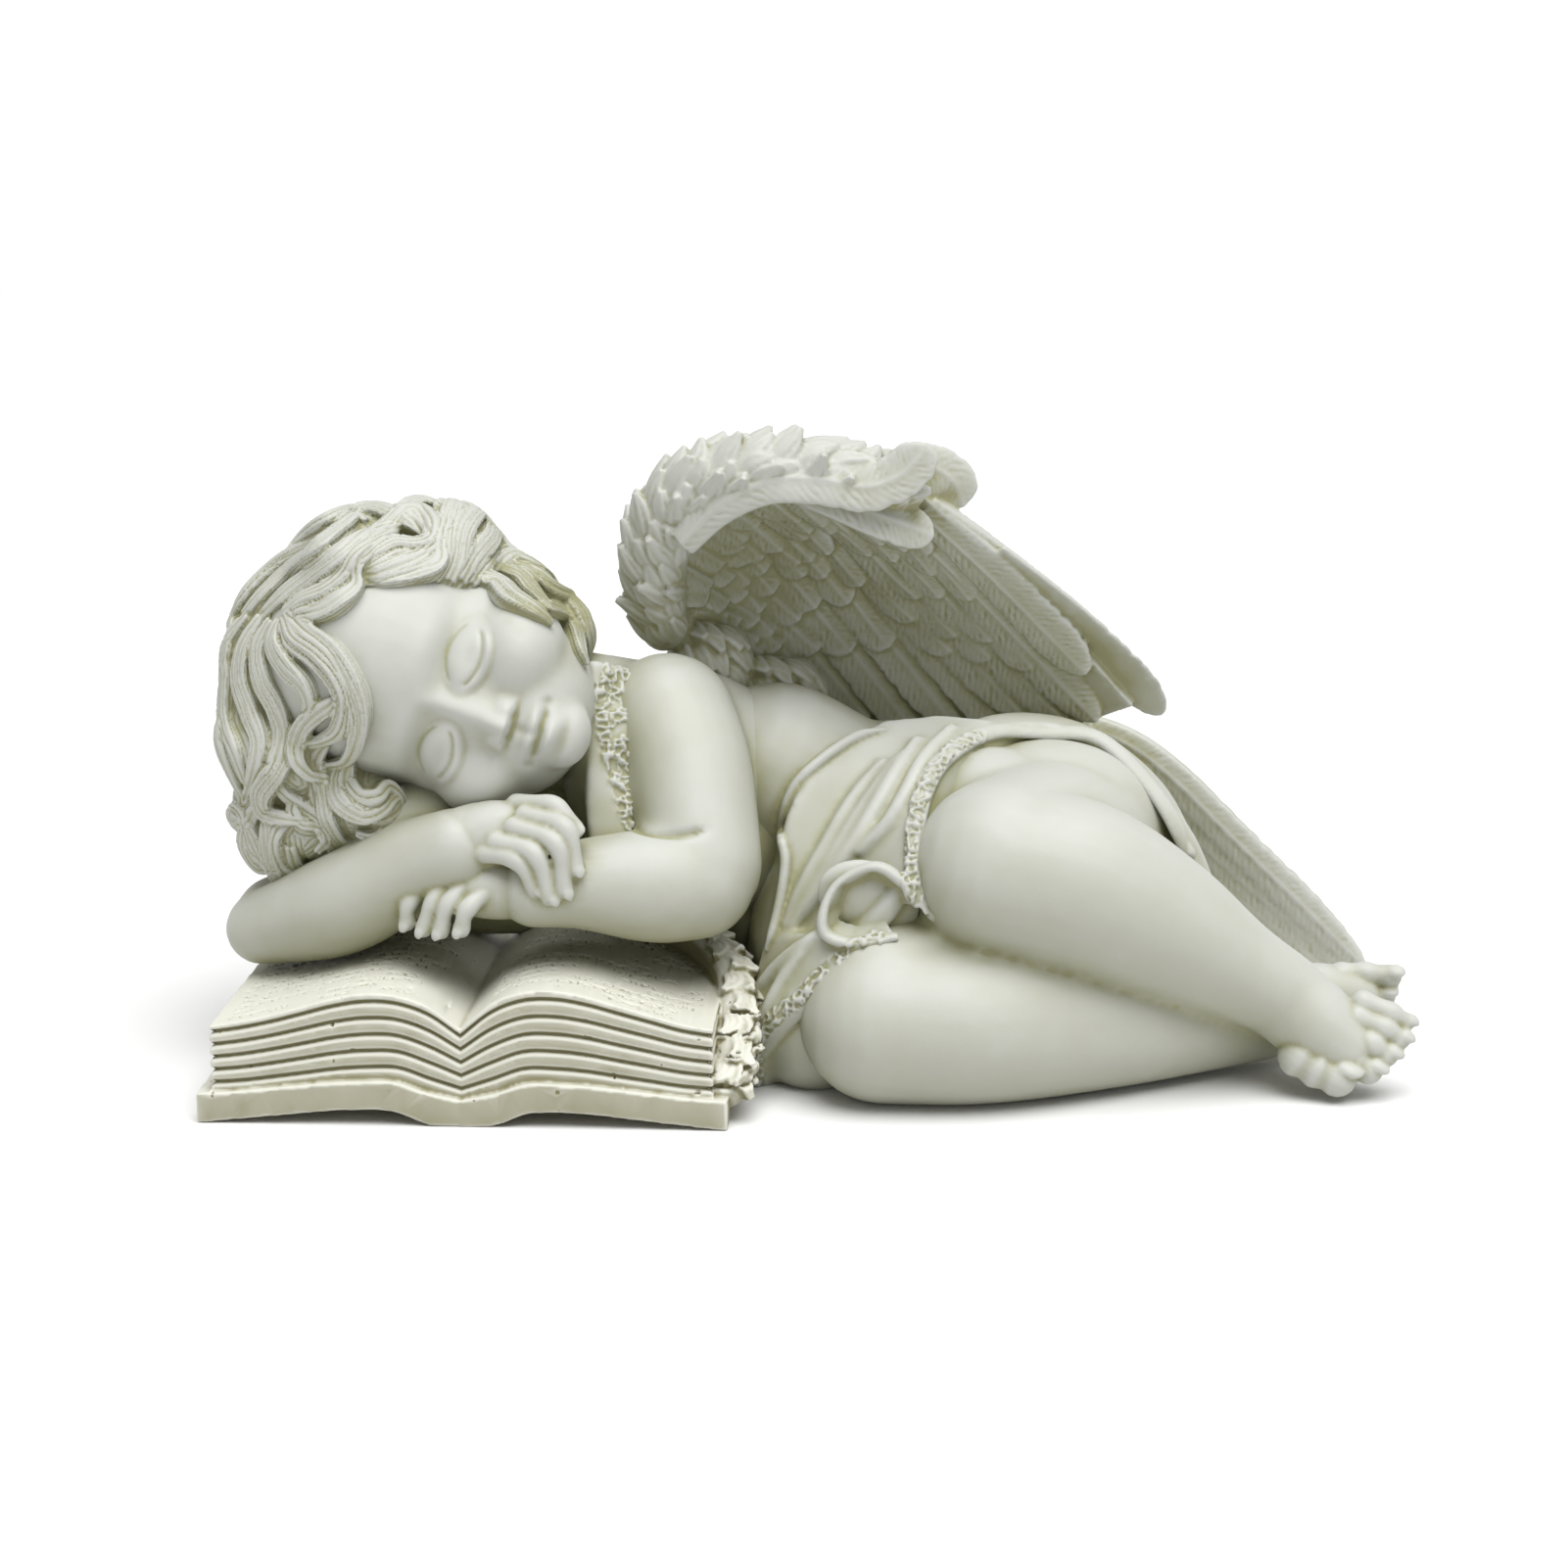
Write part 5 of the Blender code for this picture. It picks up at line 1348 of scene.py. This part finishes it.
def piece(name, mesh, node, finish, tree):
    """A finished piece that stands for the solid. What would reach under the ground is cut flat."""
    places = places_of(mesh)
    places[:, 2] = np.maximum(places[:, 2], 0.0)
    place(mesh, places)
    paint(name, mesh, tree)
    in_row(mesh)
    count = 2 * len(mesh.polygons)
    if count > TRIANGLES[name]:
        mesh = modified(mesh, ("DECIMATE", {"ratio": TRIANGLES[name] / count}))
    mesh.name = name
    mesh.shade_smooth()
    mesh.materials.clear()
    mesh.materials.append(finish)
    obj = added(name, mesh)
    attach(obj, "root")
    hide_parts(node)
    return obj


def add_camera():
    data = bpy.data.cameras.new("camera")
    data.lens = CAMERA_LENS
    data.sensor_width = 36.0
    data.clip_start = 0.01
    camera = added("camera", data)
    camera.location = (camera_place() - ORIGIN) * MILLIMETRE
    camera.rotation_euler = (math.pi / 2 - CAMERA_TILT, 0, 0)
    bpy.context.scene.camera = camera


def node_value(tree, kind, **values):
    """A new node with these values on its inputs."""
    node = tree.nodes.new(kind)
    for name, value in values.items():
        node.inputs[name].default_value = value
    return node


def stone(name, pale, wash_and_shade, wash_and_shade_share):
    """Painted cast stone: a pale coat rubbed back to an olive wash in the hollows; the olive also paints
    shade.
    """
    made = bpy.data.materials.new(name)
    made.use_nodes = True
    tree = made.node_tree
    shader = tree.nodes["Principled BSDF"]
    shader.inputs["Roughness"].default_value = 0.55
    link = tree.links.new
    coords = tree.nodes.new("ShaderNodeTexCoord")
    blotches = node_value(tree, "ShaderNodeTexNoise", Scale=38.0, Detail=5.0, Roughness=0.6)
    link(coords.outputs["Object"], blotches.inputs["Vector"])
    grain = node_value(tree, "ShaderNodeTexNoise", Scale=900.0, Detail=3.0, Roughness=0.6)
    link(coords.outputs["Object"], grain.inputs["Vector"])

    def painted(name):
        node = tree.nodes.new("ShaderNodeAttribute")
        node.attribute_name = name
        return node.outputs["Fac"]

    def math_node(operation, first, second, clamp=False):
        node = tree.nodes.new("ShaderNodeMath")
        node.operation = operation
        node.use_clamp = clamp
        for socket, value in zip(node.inputs, (first, second)):
            if isinstance(value, float):
                socket.default_value = value
            else:
                link(value, socket)
        return node.outputs[0]

    # The olive share: deep is the wash left in the hollows, closed is painted shade where the air is closed
    # in, uneven is blotchy tone.
    deep = math_node("MULTIPLY", painted("hollow"), 1.7)
    closed = math_node("MULTIPLY", painted("painted_shade"), 1.15)
    uneven = math_node("MULTIPLY", math_node("SUBTRACT", blotches.outputs["Fac"], 0.5), 0.35)
    amount = math_node("ADD", math_node("ADD", deep, closed), uneven)
    amount = math_node("MULTIPLY", amount, wash_and_shade_share, True)
    mix = tree.nodes.new("ShaderNodeMix")
    mix.data_type = "RGBA"
    mix.inputs["A"].default_value = (*pale, 1)
    mix.inputs["B"].default_value = (*wash_and_shade, 1)
    link(amount, mix.inputs["Factor"])
    link(mix.outputs["Result"], shader.inputs["Base Color"])
    bump = node_value(tree, "ShaderNodeBump", Strength=0.12, Distance=0.0003)
    link(grain.outputs["Fac"], bump.inputs["Height"])
    link(bump.outputs["Normal"], shader.inputs["Normal"])
    return made


# The floor in metres, the lamp, and the light of the sky at each height from the horizon up.
FLOOR_HALF_WIDTH = 4.0
FLOOR_SHADE = 0.74
KEY_FROM = (0.15, -0.30, 1.0)
KEY_STRENGTH = 3.5
KEY_SPREAD = math.radians(50)
SKY = ((0.0, 1.0), (0.10, 1.0), (0.14, 0.32), (0.6, 0.42), (1.0, 0.75))


def add_stage():
    """A pale floor, a soft light from above and in front, and a bright sky near the horizon."""
    mesh = bpy.data.meshes.new("floor")
    far = FLOOR_HALF_WIDTH
    mesh.from_pydata([(-far, -far, 0), (far, -far, 0), (far, far, 0), (-far, far, 0)], [], [(0, 1, 2, 3)])
    floor = added("floor", mesh)
    white = bpy.data.materials.new("white_floor")
    white.use_nodes = True
    shader = white.node_tree.nodes["Principled BSDF"]
    shader.inputs["Base Color"].default_value = (FLOOR_SHADE, FLOOR_SHADE, FLOOR_SHADE, 1)
    shader.inputs["Roughness"].default_value = 0.9
    mesh.materials.append(white)
    world = bpy.data.worlds.new("studio")
    world.use_nodes = True
    tree = world.node_tree
    background = tree.nodes["Background"]
    coords = tree.nodes.new("ShaderNodeTexCoord")
    parts = tree.nodes.new("ShaderNodeSeparateXYZ")
    tree.links.new(coords.outputs["Generated"], parts.inputs[0])
    ramp = tree.nodes.new("ShaderNodeValToRGB")
    while len(ramp.color_ramp.elements) < len(SKY):
        ramp.color_ramp.elements.new(0.5)
    for element, (height, light) in zip(ramp.color_ramp.elements, SKY):
        element.position = height
        element.color = (light, light, light, 1)
    tree.links.new(parts.outputs["Z"], ramp.inputs["Fac"])
    tree.links.new(ramp.outputs["Color"], background.inputs["Color"])
    bpy.context.scene.world = world
    key = bpy.data.lights.new("key", "SUN")
    key.energy = KEY_STRENGTH
    key.angle = KEY_SPREAD
    lamp = added("key", key)
    lamp.location = KEY_FROM
    lamp.rotation_euler = (-Vector(KEY_FROM)).to_track_quat("-Z", "Y").to_euler()
    bpy.context.scene.view_settings.view_transform = "Standard"


add_camera()
add_stage()
# Each stone's second colour is its olive wash and also the painted shade.
ivory = stone("cast_stone", pale=(0.47, 0.48, 0.44), wash_and_shade=(0.27, 0.265, 0.145), wash_and_shade_share=1.0)
cream = stone("cast_stone_cream", pale=(0.61, 0.607, 0.535), wash_and_shade=(0.22, 0.205, 0.105), wash_and_shade_share=0.9)
solids = cad_tree()
for name, make in (
    ("angel_head", head_mesh),
    ("angel_hair", hair_mesh),
    ("angel_body", body_mesh),
    ("angel_dress", dress_mesh),
    ("angel_wing_raised", wing_raised_mesh),
    ("angel_wing_folded", wing_folded_mesh),
):
    piece(name, make(), "angel", ivory, solids)
piece("open_book_carved", book_mesh(), "open_book", cream, solids)
